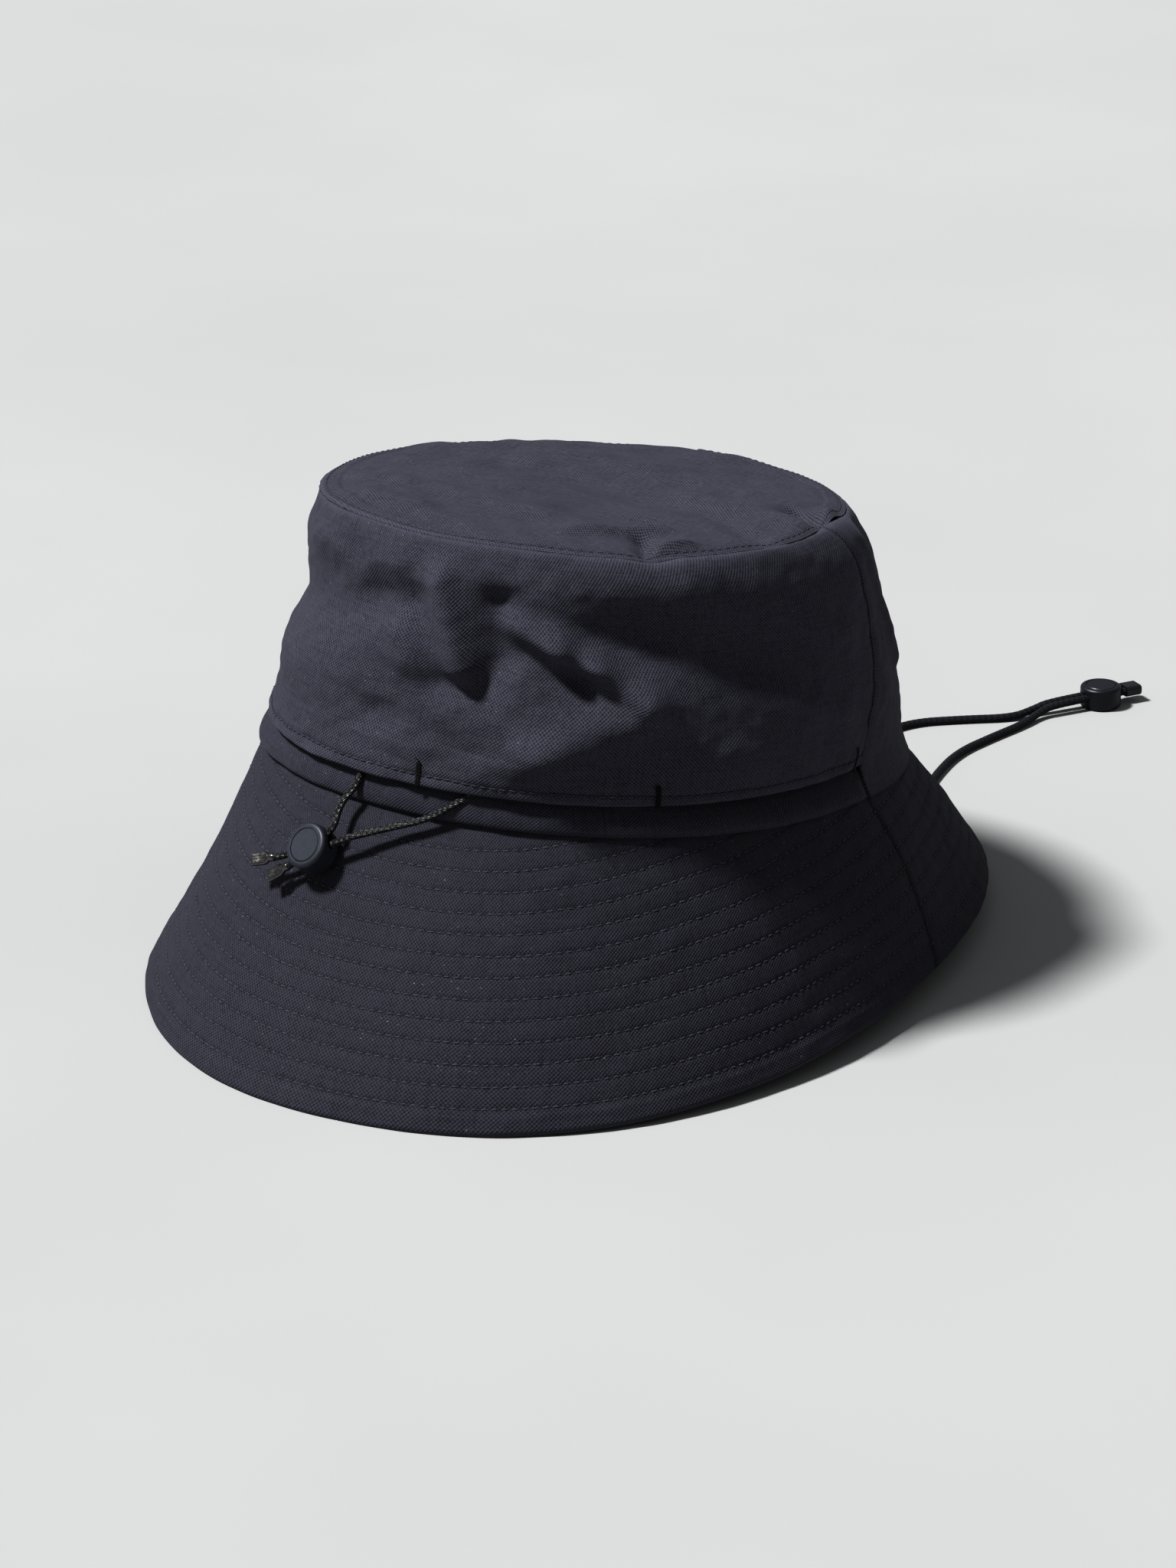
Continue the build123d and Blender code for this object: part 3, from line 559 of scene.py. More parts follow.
TAB = np.arange(-200.0, 560.01, 0.25)
F = flap_ring(TAB)
_t = unit((flap_ring(TAB + 0.05) - flap_ring(TAB - 0.05)) * np.array([1, 1, 0]))
NRM = np.stack([_t[:, 1], -_t[:, 0], 0 * TAB], -1)
PULL = bell(wrap(TAB), -84, 34)
F = F - NRM * (3.0 * PULL)[:, None]


def crossing(ring):
    lo, hi = TAB - 30, TAB + 30
    for _ in range(40):
        mid = (lo + hi) / 2
        g = ((ring(mid) - F) * _t).sum(-1)
        lo, hi = np.where(g < 0, mid, lo), np.where(g < 0, hi, mid)
    P = ring((lo + hi) / 2)
    return ((P - F) * NRM).sum(-1), P[:, 2]


R2, Z2 = crossing(join_ring)
R3, Z3 = crossing(top_ring)
R4, Z4 = crossing(rim_ring)
R2 = R2 - 1.4 * PULL
R3 = R3 + 0.5 * PULL
Z1 = F[:, 2]


def at(arr, d):
    return np.interp(d, TAB, arr)


def place(d, r, z):
    d = np.asarray(d, float)
    x = at(F[:, 0], d) + at(NRM[:, 0], d) * r
    y = at(F[:, 1], d) + at(NRM[:, 1], d) * r
    return np.stack([x, y, z + 0 * x], -1)


def seg(u, v, a, b, w, amp, steep=1.0, ends=1.0):
    """A soft ridge (+) or trench (-) along a segment, with one flank steeper than the other."""
    ax, ay, bx, by = a[0] * 1.5, a[1] * 68, b[0] * 1.5, b[1] * 68
    dx, dy = bx - ax, by - ay
    L = math.hypot(dx, dy)
    t = ((u - ax) * dx + (v - ay) * dy) / L
    s = ((u - ax) * -dy + (v - ay) * dx) / L
    over = np.maximum(np.maximum(-t, t - L), 0) / ends
    w2 = np.where(s > 0, w * steep, w)
    return amp * np.exp(-(s / w2) ** 2 - (over / w) ** 2)


def blob(u, v, c, su, sv, amp):
    return amp * np.exp(-((u - c[0] * 1.5) / su) ** 2 - ((v - c[1] * 68) / sv) ** 2)


WRINKLES = [
    # soft folds of the crown wall: kind, place(s) in (degrees, height share), sizes in mm, height in mm
    ("seg", (0.5, 0.84), (6.0, 0.53), 5.4, 6.6, 0.75),
    ("seg", (11.5, 0.76), (12.0, 0.56), 5.4, -4.8, 1.0),
    ("seg", (1.5, 0.425), (9.5, 0.445), 4.4, -2.4, 1.0),
    ("seg", (-7.0, 0.60), (-5.0, 0.50), 4.8, 2.2, 1.0),
    ("seg", (-14.0, 0.71), (-6.0, 0.73), 7.0, -4.2, 1.0),
    ("seg", (14.0, 0.70), (22.0, 0.645), 4.2, 3.4, 1.0),
    ("seg", (22.0, 0.645), (29.0, 0.575), 4.2, 3.6, 1.0),
    ("seg", (29.0, 0.575), (36.0, 0.46), 4.4, 3.4, 1.0),
    ("seg", (17.0, 0.595), (26.0, 0.505), 4.6, -2.6, 1.0),
    ("seg", (26.0, 0.505), (33.0, 0.435), 4.2, -1.8, 1.0),
    ("blob", (37, 0.70), 17, 10.0, -6.6),
    ("blob", (58, 0.62), 27, 17.0, -5.6),
    ("seg", (-62, 0.58), (-22, 0.64), 10.0, -3.4, 1.0),
    ("blob", (-34, 0.34), 24, 10, 2.2),
    ("blob", (-10, 0.24), 8, 5.0, -1.8),
    ("blob", (-2, 0.16), 10, 5, 1.0),
    ("blob", (10, 0.30), 13, 8, 1.6),
    ("blob", (-36, 0.87), 12, 6, 2.4),
    ("blob", (-22, 0.88), 7, 5, -1.6),
    ("seg", (37, 0.42), (20, 0.20), 8.0, 4.4, 0.8),
    ("seg", (20, 0.20), (10, 0.09), 6.0, 2.4, 1.0),
    ("blob", (54, 0.22), 26, 12, 2.0),
    ("blob", (68, 0.30), 22, 12, 2.0),
    ("seg", (50, 0.30), (74, 0.22), 5.0, -1.4, 1.0),
    ("seg", (52, 0.62), (78, 0.38), 6.0, -2.4, 1.0),
    ("seg", (60, 0.80), (84, 0.60), 6.0, 2.0, 1.0),
    ("seg", (99, 0.95), (110, 0.40), 4.0, 1.8, 1.0),
    ("seg", (108, 0.92), (122, 0.35), 3.6, -1.6, 1.0),
    ("seg", (118, 0.95), (134, 0.30), 5.0, 1.4, 1.0),
    ("seg", (140, 0.90), (150, 0.35), 6.0, -1.6, 1.0),
    ("seg", (152, 0.80), (186, 0.55), 8.0, -2.8, 1.0),
    ("seg", (166, 0.45), (205, 0.30), 9.0, 2.6, 1.0),
    ("seg", (196, 0.92), (208, 0.62), 5.0, 2.4, 1.0),
    ("seg", (215, 0.80), (240, 0.50), 7.0, -2.6, 1.0),
    ("blob", (-150, 0.42), 14, 9, 1.8),
    ("seg", (-130, 0.88), (-112, 0.45), 5.0, 2.4, 1.0),
    ("seg", (-106, 0.80), (-112, 0.30), 5.5, -2.2, 1.0),
    ("seg", (-80, 0.78), (-62, 0.84), 6.0, 1.4, 1.0),
]


def swell(d, t):
    """Outward displacement of the crown wall beyond its even swell, mm."""
    a = wrap(d)
    t = np.clip(t, 0, 1)
    lo = np.sin(np.pi * t ** 0.8)
    base = 4.6 * lo * (0.5 + 0.5 * np.tanh((a - 26) / 14)) * (0.5 - 0.5 * np.tanh((a - 112) / 14)) - 1.6 * lo * bell(a, -72, 28)
    base += 1.2 * lo * bell(a, 130, 30)
    shoulder = np.where(t < 0.86, np.clip(t / 0.86, 0, 1) ** 3, np.sqrt(np.clip(1 - ((t - 0.86) / 0.14) ** 2, 0, 1)))
    base += shoulder * (1.5 + 2.6 * bell(a, 46, 26) + 3.0 * bell(a, 95, 14) - 1.7 * bell(a, -66, 30))
    fade = np.sin(np.pi * np.clip(t, 0, 1)) ** 0.35
    out = np.zeros_like(a + t)
    for shift in (-360, 0, 360):
        u, v = (a + shift) * 1.5, t * 68
        if shift and not ((np.abs(u) < 330).any()):
            continue
        for w in WRINKLES:
            if w[0] == "seg":
                out = out + seg(u, v, w[1], w[2], w[3], w[4], w[5])
            else:
                out = out + blob(u, v, w[1], w[2], w[3], w[4])
    rip = ripple(d, t * 68, seed=31, amp=0.20, low=6, high=30)
    return base + (out + rip) * fade


def ripple(d, v, n=26, seed=3, amp=0.1, low=11, high=60):
    """Irregular waviness of sewn cloth, without a jump anywhere round the hat; v is the height in mm."""
    rng = np.random.RandomState(seed)
    rad = np.radians(np.asarray(d, float))
    out = np.zeros_like(rad + v)
    for _ in range(n):
        total = rng.uniform(low, high)
        ang = rng.uniform(0, math.pi)
        k = int(round(total * math.cos(ang)))
        out = out + np.sin(rad * k + v * total * math.sin(ang) / 88.0 + rng.uniform(0, 6.28)) * (low / total) ** 0.7
    return out * amp


def wall(d, t, extra=0.0):
    r3, z1, z3 = at(R3, d), at(Z1, d), at(Z3, d)
    r = r3 * t + 1.6 * np.sin(np.pi * np.clip(t, 0, 1)) + swell(d, t) + ripple(d, t * 68, amp=0.050, low=30, high=120) + extra
    return place(d, r, z1 + (z3 - 0.5 - z1) * t)


def seam_shift(t):
    """The side seam wanders forward where the shoulder bulges."""
    t = np.clip(t, 0, 1)
    return 4.6 * np.sin(np.pi * np.clip(t, 0, 1) ** 1.5) ** 0.9


def skirt(d, v):
    """Front panel below the flap line: v 0 at the flap height, 1 at the brim seam."""
    r2, z1, z2 = at(R2, d), at(Z1, d), at(Z2, d)
    return place(d, r2 * v * v + 0.35 * np.sin(np.pi * v) + 0.25, z1 + (z2 + 0.2 - z1) * v)


def brim_len(d):
    return np.hypot(at(R4, d) - at(R2, d), at(Z4, d) - at(Z2, d))


ROW0, ROWP, ROWN = 7.2, 5.9, 13


def brim(d, s, off=0.0, rows=True):
    """Upper face of the brim, s mm up from the rim; off moves along the face's normal."""
    r0, z0, r4, z4 = at(R2, d) - 1, at(Z2, d) - 0.3, at(R4, d), at(Z4, d)
    L = np.hypot(r4 - r0, z4 - z0)
    t = 1 - s / L
    dr, dz = (r4 - r0) / L, (z4 - z0) / L
    a = wrap(d)
    bow = 1.0 * np.sin(np.pi * np.clip(t, 0, 1))
    bow = bow + np.sin(np.pi * np.clip(t, 0, 1)) * (1.3 * bell(a, 88, 25) - 3.4 * bell(a, -72, 32) + 0.5 * np.sin(np.radians(a) * 5 + 1.2) + 0.4 * np.sin(np.radians(a) * 9))
    if rows:
        k = (s - ROW0) / ROWP
        near = np.abs(k - np.round(k)) * ROWP
        live = (np.round(k) >= 0) & (np.round(k) < ROWN)
        pad = 0.13 * np.abs(np.sin(np.pi * k)) ** 0.6
        groove = np.where(live, -0.16 * np.exp(-(near / 0.40) ** 2), 0.0)
        inside = np.clip((s - 2.5) / 4.0, 0, 1)
        pucker = 0.07 * np.sin(a * (2.2 + 0.25 * np.round(k)) * 1.7 + np.round(k) * 1.9) * np.exp(-(near / 1.8) ** 2)
        bow = bow + (pad + groove + pucker) * inside + ripple(d, s, seed=44, amp=0.055, low=14, high=90)
        # turned rim edge: a double thickness 6 mm wide
        bow = bow + 0.28 * np.clip((6.0 - s) / 1.2, 0, 1)
    r = r0 + (r4 - r0) * t + (bow + off) * -dz
    z = z0 + (z4 - z0) * t + (bow + off) * dr
    return place(d, r, z)


def stitches(name, C, T, N, length, rad, mat, nodes=(), body="hat", lift=0.06, jitter=0.05, seed=1):
    """Each stitch is its own little grain of thread lying in its dent."""
    rng = np.random.RandomState(seed)
    n = len(C)
    T, N = unit(T), unit(N - T * (N * T).sum(-1, keepdims=True))
    B = np.cross(N, T)
    ang = rng.normal(0, jitter, n)
    T2 = T * np.cos(ang)[:, None] + B * np.sin(ang)[:, None]
    B2 = np.cross(N, T2)
    s = np.array([-1.0, -0.86, -0.45, 0.0, 0.45, 0.86, 1.0])
    r = np.array([0.30, 0.72, 1.0, 1.06, 1.0, 0.72, 0.30])
    dz = np.array([-1.1, -0.55, 0.0, 0.12, 0.0, -0.55, -1.1]) * rad
    m = 6
    th = np.arange(m) * 2 * math.pi / m
    ln = length / 2 * (1 + rng.normal(0, 0.05, n))
    V = (C[:, None, None] + T2[:, None, None] * (s[None, :, None, None] * ln[:, None, None, None])
         + N[:, None, None] * ((dz + lift)[None, :, None, None] + (r[:, None] * rad * np.sin(th))[None, :, :, None] * 0.8)
         + B2[:, None, None] * (r[:, None] * rad * np.cos(th))[None, :, :, None])
    k = len(s)
    I, J = np.meshgrid(np.arange(k - 1), np.arange(m), indexing="ij")
    q = np.stack([I * m + J, I * m + (J + 1) % m, (I + 1) * m + (J + 1) % m, (I + 1) * m + J], -1).reshape(-1, 4)
    caps = np.array([[3, 2, 1, 0], [5, 4, 3, 0], [(k - 1) * m + 0, (k - 1) * m + 1, (k - 1) * m + 2, (k - 1) * m + 3], [(k - 1) * m + 0, (k - 1) * m + 3, (k - 1) * m + 4, (k - 1) * m + 5]])
    q = np.concatenate([q, caps])
    Q = (q[None] + (np.arange(n) * k * m)[:, None, None]).reshape(-1, 4)
    uvv = np.stack([np.broadcast_to((s[:, None] + 1) * length / 2, (k, m)), np.broadcast_to(th[None] * rad, (k, m))], -1).reshape(-1, 2)
    uv = np.broadcast_to(uvv[q][None], (n, *q.shape, 2)).reshape(-1, 4, 2)
    ob = new_mesh(name, V.reshape(-1, 3), Q, uv)
    dress(ob, mat, body, nodes)
    return ob


def row(surface, d, step, off=0.0):
    """Stitch centres, directions and face normals along one line on a surface; surface(d, e) with e across."""
    P, A = surface(d, 0.0), surface(d, 0.4)
    T = np.gradient(P, axis=0)
    N = unit(np.cross(unit(T), unit(A - P)))
    P, N = resample(P, step, None, N) if False else resample_pair(P, N, step, off)
    return P, np.gradient(P, axis=0), N


def resample_pair(P, N, step, off=0.0):
    s = np.concatenate([[0], np.cumsum(np.linalg.norm(np.diff(P, axis=0), axis=1))])
    q = np.arange(step * 0.5 + off, s[-1] - step * 0.4, step)
    f = lambda A: np.stack([np.interp(q, s, A[:, k]) for k in range(3)], -1)
    return f(P), unit(f(N))


# ---------------------------------------------------------------- crown walls
def grid(a0, a1, na, v0, v1, nv):
    return np.meshgrid(np.linspace(0, 1, na), np.linspace(v0, v1, nv), indexing="ij")


HEM = 11.0 / 66.0
A, T = grid(0, 1, 420, 0, 1, 132)
D = -90 - seam_shift(T) * 0.0 + A * (180 + seam_shift(T))
hem_roll = 0.25 * np.exp(-((T * 66 - 3.2) / 0.8) ** 2)
seam_in = -0.35 * np.exp(-((A) / 0.006) ** 2) - 0.35 * np.exp(-((1 - A) / 0.006) ** 2)
step_in = -0.22 * (0.5 + 0.5 * np.tanh((T * 66 - 11.2) / 0.5))
flare = 0.9 * np.exp(-(T * 66 / 7.0) ** 2) * np.clip((1 - np.abs(2 * A - 1)) / 0.08, 0, 1)
P = wall(D, T, -hem_roll + seam_in + step_in + 0.22 + flare)
N = normals(P)
if (N[200, 60] * np.array([0, -1, 0.2])).sum() < 0:
    N = -N
thick = 0.7 + 0.95 * (0.5 - 0.5 * np.tanh((T * 66 - 11.2) / 0.4))
edge = np.clip(1 - T * 66 / 0.9, 0, 1)[..., None]
wearA = 0.9 * np.exp(-(T * 66 / 0.9) ** 2) + 0.5 * np.exp(-((1 - T) * 68 / 1.2) ** 2)
Pout = P - N * 0.42 * edge ** 2
Pin = P - N * (thick[..., None] - 0.42 * edge ** 2)
# painted shade along the flap's topstitch line and both side seams, carried by the mesh
back_panel = slab("crown_back_cloth", Pout, Pin, {"wear": np.concatenate([wearA.ravel(), 0 * wearA.ravel()]), "crease_shade": np.concatenate([(0.55 * np.exp(-((T * 66 - 3.2) / 0.45) ** 2) + 0.8 * np.exp(-(A * 270 / 0.9) ** 2) + 0.8 * np.exp(-((1 - A) * 270 / 0.9) ** 2)).ravel(), 0 * wearA.ravel()])})
dress(back_panel, "cloth", "hat", ("crown_back_panel",))

A, V = grid(0, 1, 420, -1, 1, 150)
V = np.where(V < 0, V * 1.0, V)
Tf = np.clip(V, 0, 1)
D = 90 + seam_shift(Tf) + A * (180 - seam_shift(Tf))
Pw = wall(D, Tf, 0.22 - 0.35 * np.exp(-(A / 0.006) ** 2) - 0.35 * np.exp(-((1 - A) / 0.006) ** 2))
k0 = int((V[0] <= 0).sum())
Ps = skirt(D, np.clip(-V, 0, 1)) + (Pw[:, k0:k0 + 1] - skirt(D[:, k0:k0 + 1], np.zeros((420, 1)))) * np.clip(1 + V, 0, 1)[..., None] ** 2
P = np.where((V > 0)[..., None], Pw, Ps)
N = normals(P)
if (N[200, 100] * np.array([0, 1, 0.2])).sum() < 0:
    N = -N
wearF = 0.5 * np.exp(-((1 - Tf) * 68 / 1.2) ** 2)
front_panel = slab("crown_front_cloth", P, P - N * 0.7, {"wear": np.concatenate([wearF.ravel(), 0 * wearF.ravel()])})
dress(front_panel, "cloth", "hat", ("crown_front_panel",))

# folded hem behind the flap
A, T = grid(0, 1, 260, 0.11, 0.21, 14)
D = -88 + A * 176
base = wall(D, T)
N = normals(base)
if (N[130, 7] * np.array([0, -1, 0.2])).sum() < 0:
    N = -N
hem = slab("flap_hem_fold", base - N * 1.75, base - N * 2.25)
dress(hem, "inner", "hat", ("flap_hem",))

# lower band: rolls out from under the flap and over the brim seam
A, S = grid(0, 1, 420, 0, 1, 60)
D = -91.0 + A * 182.0
r2, z1, z2 = at(R2, D), at(Z1, D), at(Z2, D)
knots = [0.0, 0.07, 0.17, 0.30, 0.45, 0.58, 0.72, 0.86, 1.0]
full = 0.18 * np.sin(np.radians(D) * 7 + 0.7) + ripple(D, 20 * S, n=14, seed=9, amp=0.10, low=10, high=70)
rr = [r2 - 2.2, r2 + 0.05 + full, r2 + 0.60 + full, r2 * 0.74 + 0.30 + full, r2 * 0.20 - 0.7 + full, -1.9 + 0 * r2, -3.0 + 0 * r2, -3.3 + 1.0 + 0 * r2 - 1.6, -3.3 + 0 * r2 - 2.0]
zz = [z2 - 0.5, z2 + 0.15, z2 + 1.6, z2 + 3.9, z1 - 2.4, z1 - 0.4, z1 + 2.5, z1 + 7.0, z1 + 12.0]
# its two ends run in under the front panel at the side seams
tuck = np.clip((np.abs(D) - 86.0) / 4.0, 0, 1)
tuck = tuck * tuck * (3 - 2 * tuck)
for i in range(len(rr)):
    v = np.clip((zz[i] - z1) / (z2 - z1), 0, 1)
    rr[i] = rr[i] * (1 - tuck) + np.minimum(rr[i], r2 * v * v + 0.35 * np.sin(np.pi * v) - 0.40) * tuck


def along(vals, S):
    """Smooth curve through knot values, in the profile direction."""
    vals = np.stack([v + 0 * S for v in vals], 0)
    k = np.array(knots)
    idx = np.clip(np.searchsorted(k, S, side="right") - 1, 0, len(k) - 2)
    x = (S - k[idx]) / (k[idx + 1] - k[idx])
    g = lambda i: np.take_along_axis(vals, np.clip(i, 0, len(k) - 1)[None], 0)[0]
    p0, p1, p2, p3 = g(idx - 1), g(idx), g(idx + 1), g(idx + 2)
    return 0.5 * (2 * p1 + (p2 - p0) * x + (2 * p0 - 5 * p1 + 4 * p2 - p3) * x ** 2 + (3 * p1 - p0 - 3 * p2 + p3) * x ** 3)


P = place(D, along(rr, S), along(zz, S))
N = normals(P)
if (N[210, 14] * np.array([0, -1, 0.0])).sum() < 0:
    N = -N
# painted highlight: a paler strip along the band's roll, passed to the shader as its wear attribute
band_roll_highlight = 0.35 * np.exp(-((S - 0.17) / 0.05) ** 2)
band = slab("back_band_cloth", P, P - N * 0.6, {"wear": np.concatenate([band_roll_highlight.ravel(), 0 * band_roll_highlight.ravel()])})
dress(band, "band", "hat", ("back_band",))

# ---------------------------------------------------------------- crown top
TOPF = [
    # soft lines in the top panel: (x, y) to (x, y) in mm, width, height
    ((-48, -30), (20, -44), 6.0, 0.9), ((-30, 10), (45, -6), 8.0, -1.1), ((-50, -6), (-10, -18), 7.0, 0.7),
    ((-20, 34), (44, 22), 8.0, 0.9), ((10, -30), (52, -24), 5.0, -0.7), ((24, -52), (40, -34), 3.4, 1.3),
    ((40, -44), (46, -54), 2.4, -1.6), ((49, -52), (53, -44), 2.6, 1.4), ((-40, -52), (-22, -58), 5.0, 1.2),
    ((-14, -62), (4, -66), 4.0, 0.6), ((30, 8), (66, -2), 6.0, 0.8), ((54, -14), (66, -22), 4.0, -1.0),
    ((-10, 60), (30, 52), 7.0, -0.9), ((-56, 24), (-30, 44), 8.0, 0.8), ((60, 12), (71, 4), 3.5, -2.6),
    ((66, 20), (73, 10), 2.6, 1.6), ((-2, -10), (34, -14), 4.0, 0.5),
]


def top_point(x, y):
    """The crown top's outer face over an (x, y) of its unit disc times its half widths."""
    q = np.sqrt((x / TOPR[0]) ** 2 + (y / TOPR[1]) ** 2)
    d = np.degrees(np.arctan2(x / TOPR[0], -y / TOPR[1]))
    # same angle measure as the rings
    d2 = np.degrees(np.arctan2(x, -y))
    z = 133.4 - 0.125 * y + top_drop(d2) * np.clip(q, 0, 1) ** 3
    dome = 3.0 * (1 - q ** 2) + 1.3 * (1 - q ** 10) - 2.6 * np.exp(-((x - 18) / 34) ** 2 - ((y + 6) / 40) ** 2)
    out = dome
    fade = np.clip((1 - q) / 0.06, 0, 1)
    for a, b, w, amp in TOPF:
        dx, dy = b[0] - a[0], b[1] - a[1]
        L = math.hypot(dx, dy)
        t = ((x - a[0]) * dx + (y - a[1]) * dy) / L
        s = ((x - a[0]) * -dy + (y - a[1]) * dx) / L
        over = np.maximum(np.maximum(-t, t - L), 0)
        out = out + 1.5 * amp * np.exp(-(s / w) ** 2 - (over / (1.3 * w)) ** 2) * (0.25 + 0.75 * fade)
    rng = np.random.RandomState(77)
    for _ in range(30):
        kx, ky = rng.uniform(-0.5, 0.5), rng.uniform(-0.5, 0.5)
        kk = math.hypot(kx, ky) + 0.06
        out = out + 0.028 / kk ** 0.8 * np.sin(kx * x + ky * y + rng.uniform(0, 6.28)) * fade
    # seam allowance pressed under the edge, then a dip at the seam itself
    rim_mm = (1 - q) * 75
    out = out + 0.40 * np.clip((6.0 - rim_mm) / 1.0, 0, 1) - 0.55 * np.exp(-(rim_mm / 0.9) ** 2) - 0.18 * np.exp(-((rim_mm - 1.7) / 0.7) ** 2)
    return np.stack([x + 2.2, y + 1.3, z + out], -1)


g = np.linspace(-1, 1, 240)
g = np.sin(g * math.pi / 2 * 0.92) / math.sin(math.pi / 2 * 0.92)
GU, GV = np.meshgrid(g, g, indexing="ij")
X, Y = GU * np.sqrt(1 - GV ** 2 / 2) * TOPR[0], GV * np.sqrt(1 - GU ** 2 / 2) * TOPR[1]
P = top_point(X, Y)
N = normals(P)
if N[120, 120, 2] < 0:
    N = -N
qq = np.sqrt((X / TOPR[0]) ** 2 + (Y / TOPR[1]) ** 2)
wearT = 0.5 * np.exp(-((1 - qq) * 75 / 1.0) ** 2)
# painted shade along the topstitch line inside the top seam, carried by the mesh
top_panel = slab("crown_top_cloth", P, P - N * 0.7, {"wear": np.concatenate([wearT.ravel(), 0 * wearT.ravel()]), "crease_shade": np.concatenate([(0.5 * np.exp(-(((1 - qq) * 75 - 1.7) / 0.45) ** 2)).ravel(), 0 * wearT.ravel()])})
# straight grain for the weave on the top panel
uvl = top_panel.data.uv_layers["UVMap"].data
co = np.empty(len(top_panel.data.vertices) * 3)
top_panel.data.vertices.foreach_get("co", co)
vi = np.empty(len(top_panel.data.loops), np.int32)
top_panel.data.loops.foreach_get("vertex_index", vi)
uvl.foreach_set("uv", co.reshape(-1, 3)[vi, :2].ravel())
dress(top_panel, "cloth", "hat", ("crown_top_panel",))

# ---------------------------------------------------------------- brim
for nm, a0, a1 in (("back", -90.0, 90.0), ("front", 90.0, 270.0)):
    A, B = np.meshgrid(np.linspace(0, 1, 520), np.linspace(0, 1, 150), indexing="ij")
    D = a0 + A * (a1 - a0)
    wav = 0.5 * np.sin(B * 9.0) * np.exp(-(A / 0.02) ** 2) + 0.5 * np.sin(B * 9.0) * np.exp(-((1 - A) / 0.02) ** 2)
    D = D + (0.35 * np.sin(B * 8.0) + 0.25 * np.sin(B * 17.0)) * np.where(np.abs(A - 0.5) > 0.495, 1, 0) * 0
    L = brim_len(D) + 1.0
    s = L * (1 - B)
    sm = -0.30 * np.exp(-(A * 165 / 0.8) ** 2) - 0.30 * np.exp(-((1 - A) * 165 / 0.8) ** 2)
    rimcurl = -1.0 * np.clip(1 - s / 1.3, 0, 1) ** 2
    P = brim(D, s, sm + rimcurl)
    low = brim(D, s, -0.72 + 0.0 * s + 0 * rimcurl, rows=False)
    low = np.where((s < 1.3)[..., None], brim(D, s, -1.05, rows=False), low)
    wearR = 0.8 * np.exp(-(s / 1.0) ** 2) + 0.08
    kk = (s - ROW0) / ROWP
    nr = np.abs(kk - np.round(kk)) * ROWP
    # painted shade: darker along the stitch-row grooves, between the stitches and at the brim's side seams
    brim_row_shade = 0.75 * np.exp(-(nr / 0.42) ** 2) * ((np.round(kk) >= 0) & (np.round(kk) < ROWN)) * (0.65 + 0.35 * np.sin(A * 180 * 1.45 * 2 * np.pi / 2.75))
    brim_row_shade = np.maximum(brim_row_shade, 0.8 * np.exp(-(A * 165 / 0.9) ** 2))
    brim_row_shade = np.maximum(brim_row_shade, 0.8 * np.exp(-((1 - A) * 165 / 0.9) ** 2))
    ob = slab("brim_upper_" + nm + "_cloth", P, low, {"wear": np.concatenate([wearR.ravel(), wearR.ravel()]), "crease_shade": np.concatenate([brim_row_shade.ravel(), 0 * brim_row_shade.ravel()])})
    dress(ob, "brim", "hat", ("brim_upper_" + nm,))
    # stiffening layer between the faces
    A2, B2 = np.meshgrid(np.linspace(0, 1, 130), np.linspace(0, 1, 26), indexing="ij")
    D2 = a0 + 0.2 + A2 * (a1 - a0 - 0.4)
    s2 = 7.5 + (brim_len(D2) - 10) * (1 - B2)
    ob = slab("brim_interlining_" + nm + "_layer", brim(D2, s2, -0.85, rows=False), brim(D2, s2, -1.35, rows=False))
    dress(ob, "stiff", "hat", ("brim_interlining_" + nm,))
    # under face, with the same rows showing
    A3, B3 = np.meshgrid(np.linspace(0, 1, 420), np.linspace(0, 1, 130), indexing="ij")
    D3 = a0 + 0.05 + A3 * (a1 - a0 - 0.1)
    s3 = 1.0 + (brim_len(D3) - 1.6) * (1 - B3)
    k3 = (s3 - ROW0) / ROWP
    near = np.abs(k3 - np.round(k3)) * ROWP
    live = (np.round(k3) >= 0) & (np.round(k3) < ROWN)
    puff = -0.35 * np.abs(np.sin(np.pi * k3)) ** 0.7 + np.where(live, 0.2 * np.exp(-(near / 0.55) ** 2), 0)
    rimup = 0.8 * np.clip(1 - (s3 - 1.0) / 1.6, 0, 1) ** 2
    U = brim(D3, s3, -1.5, rows=False)
    W = brim(D3, s3, -2.15 + puff * np.clip((s3 - 3) / 3, 0, 1) + rimup * 0.5, rows=False)
    ob = slab("brim_under_" + nm + "_cloth", U, W)
    dress(ob, "inner", "hat", ("brim_under_" + nm,))

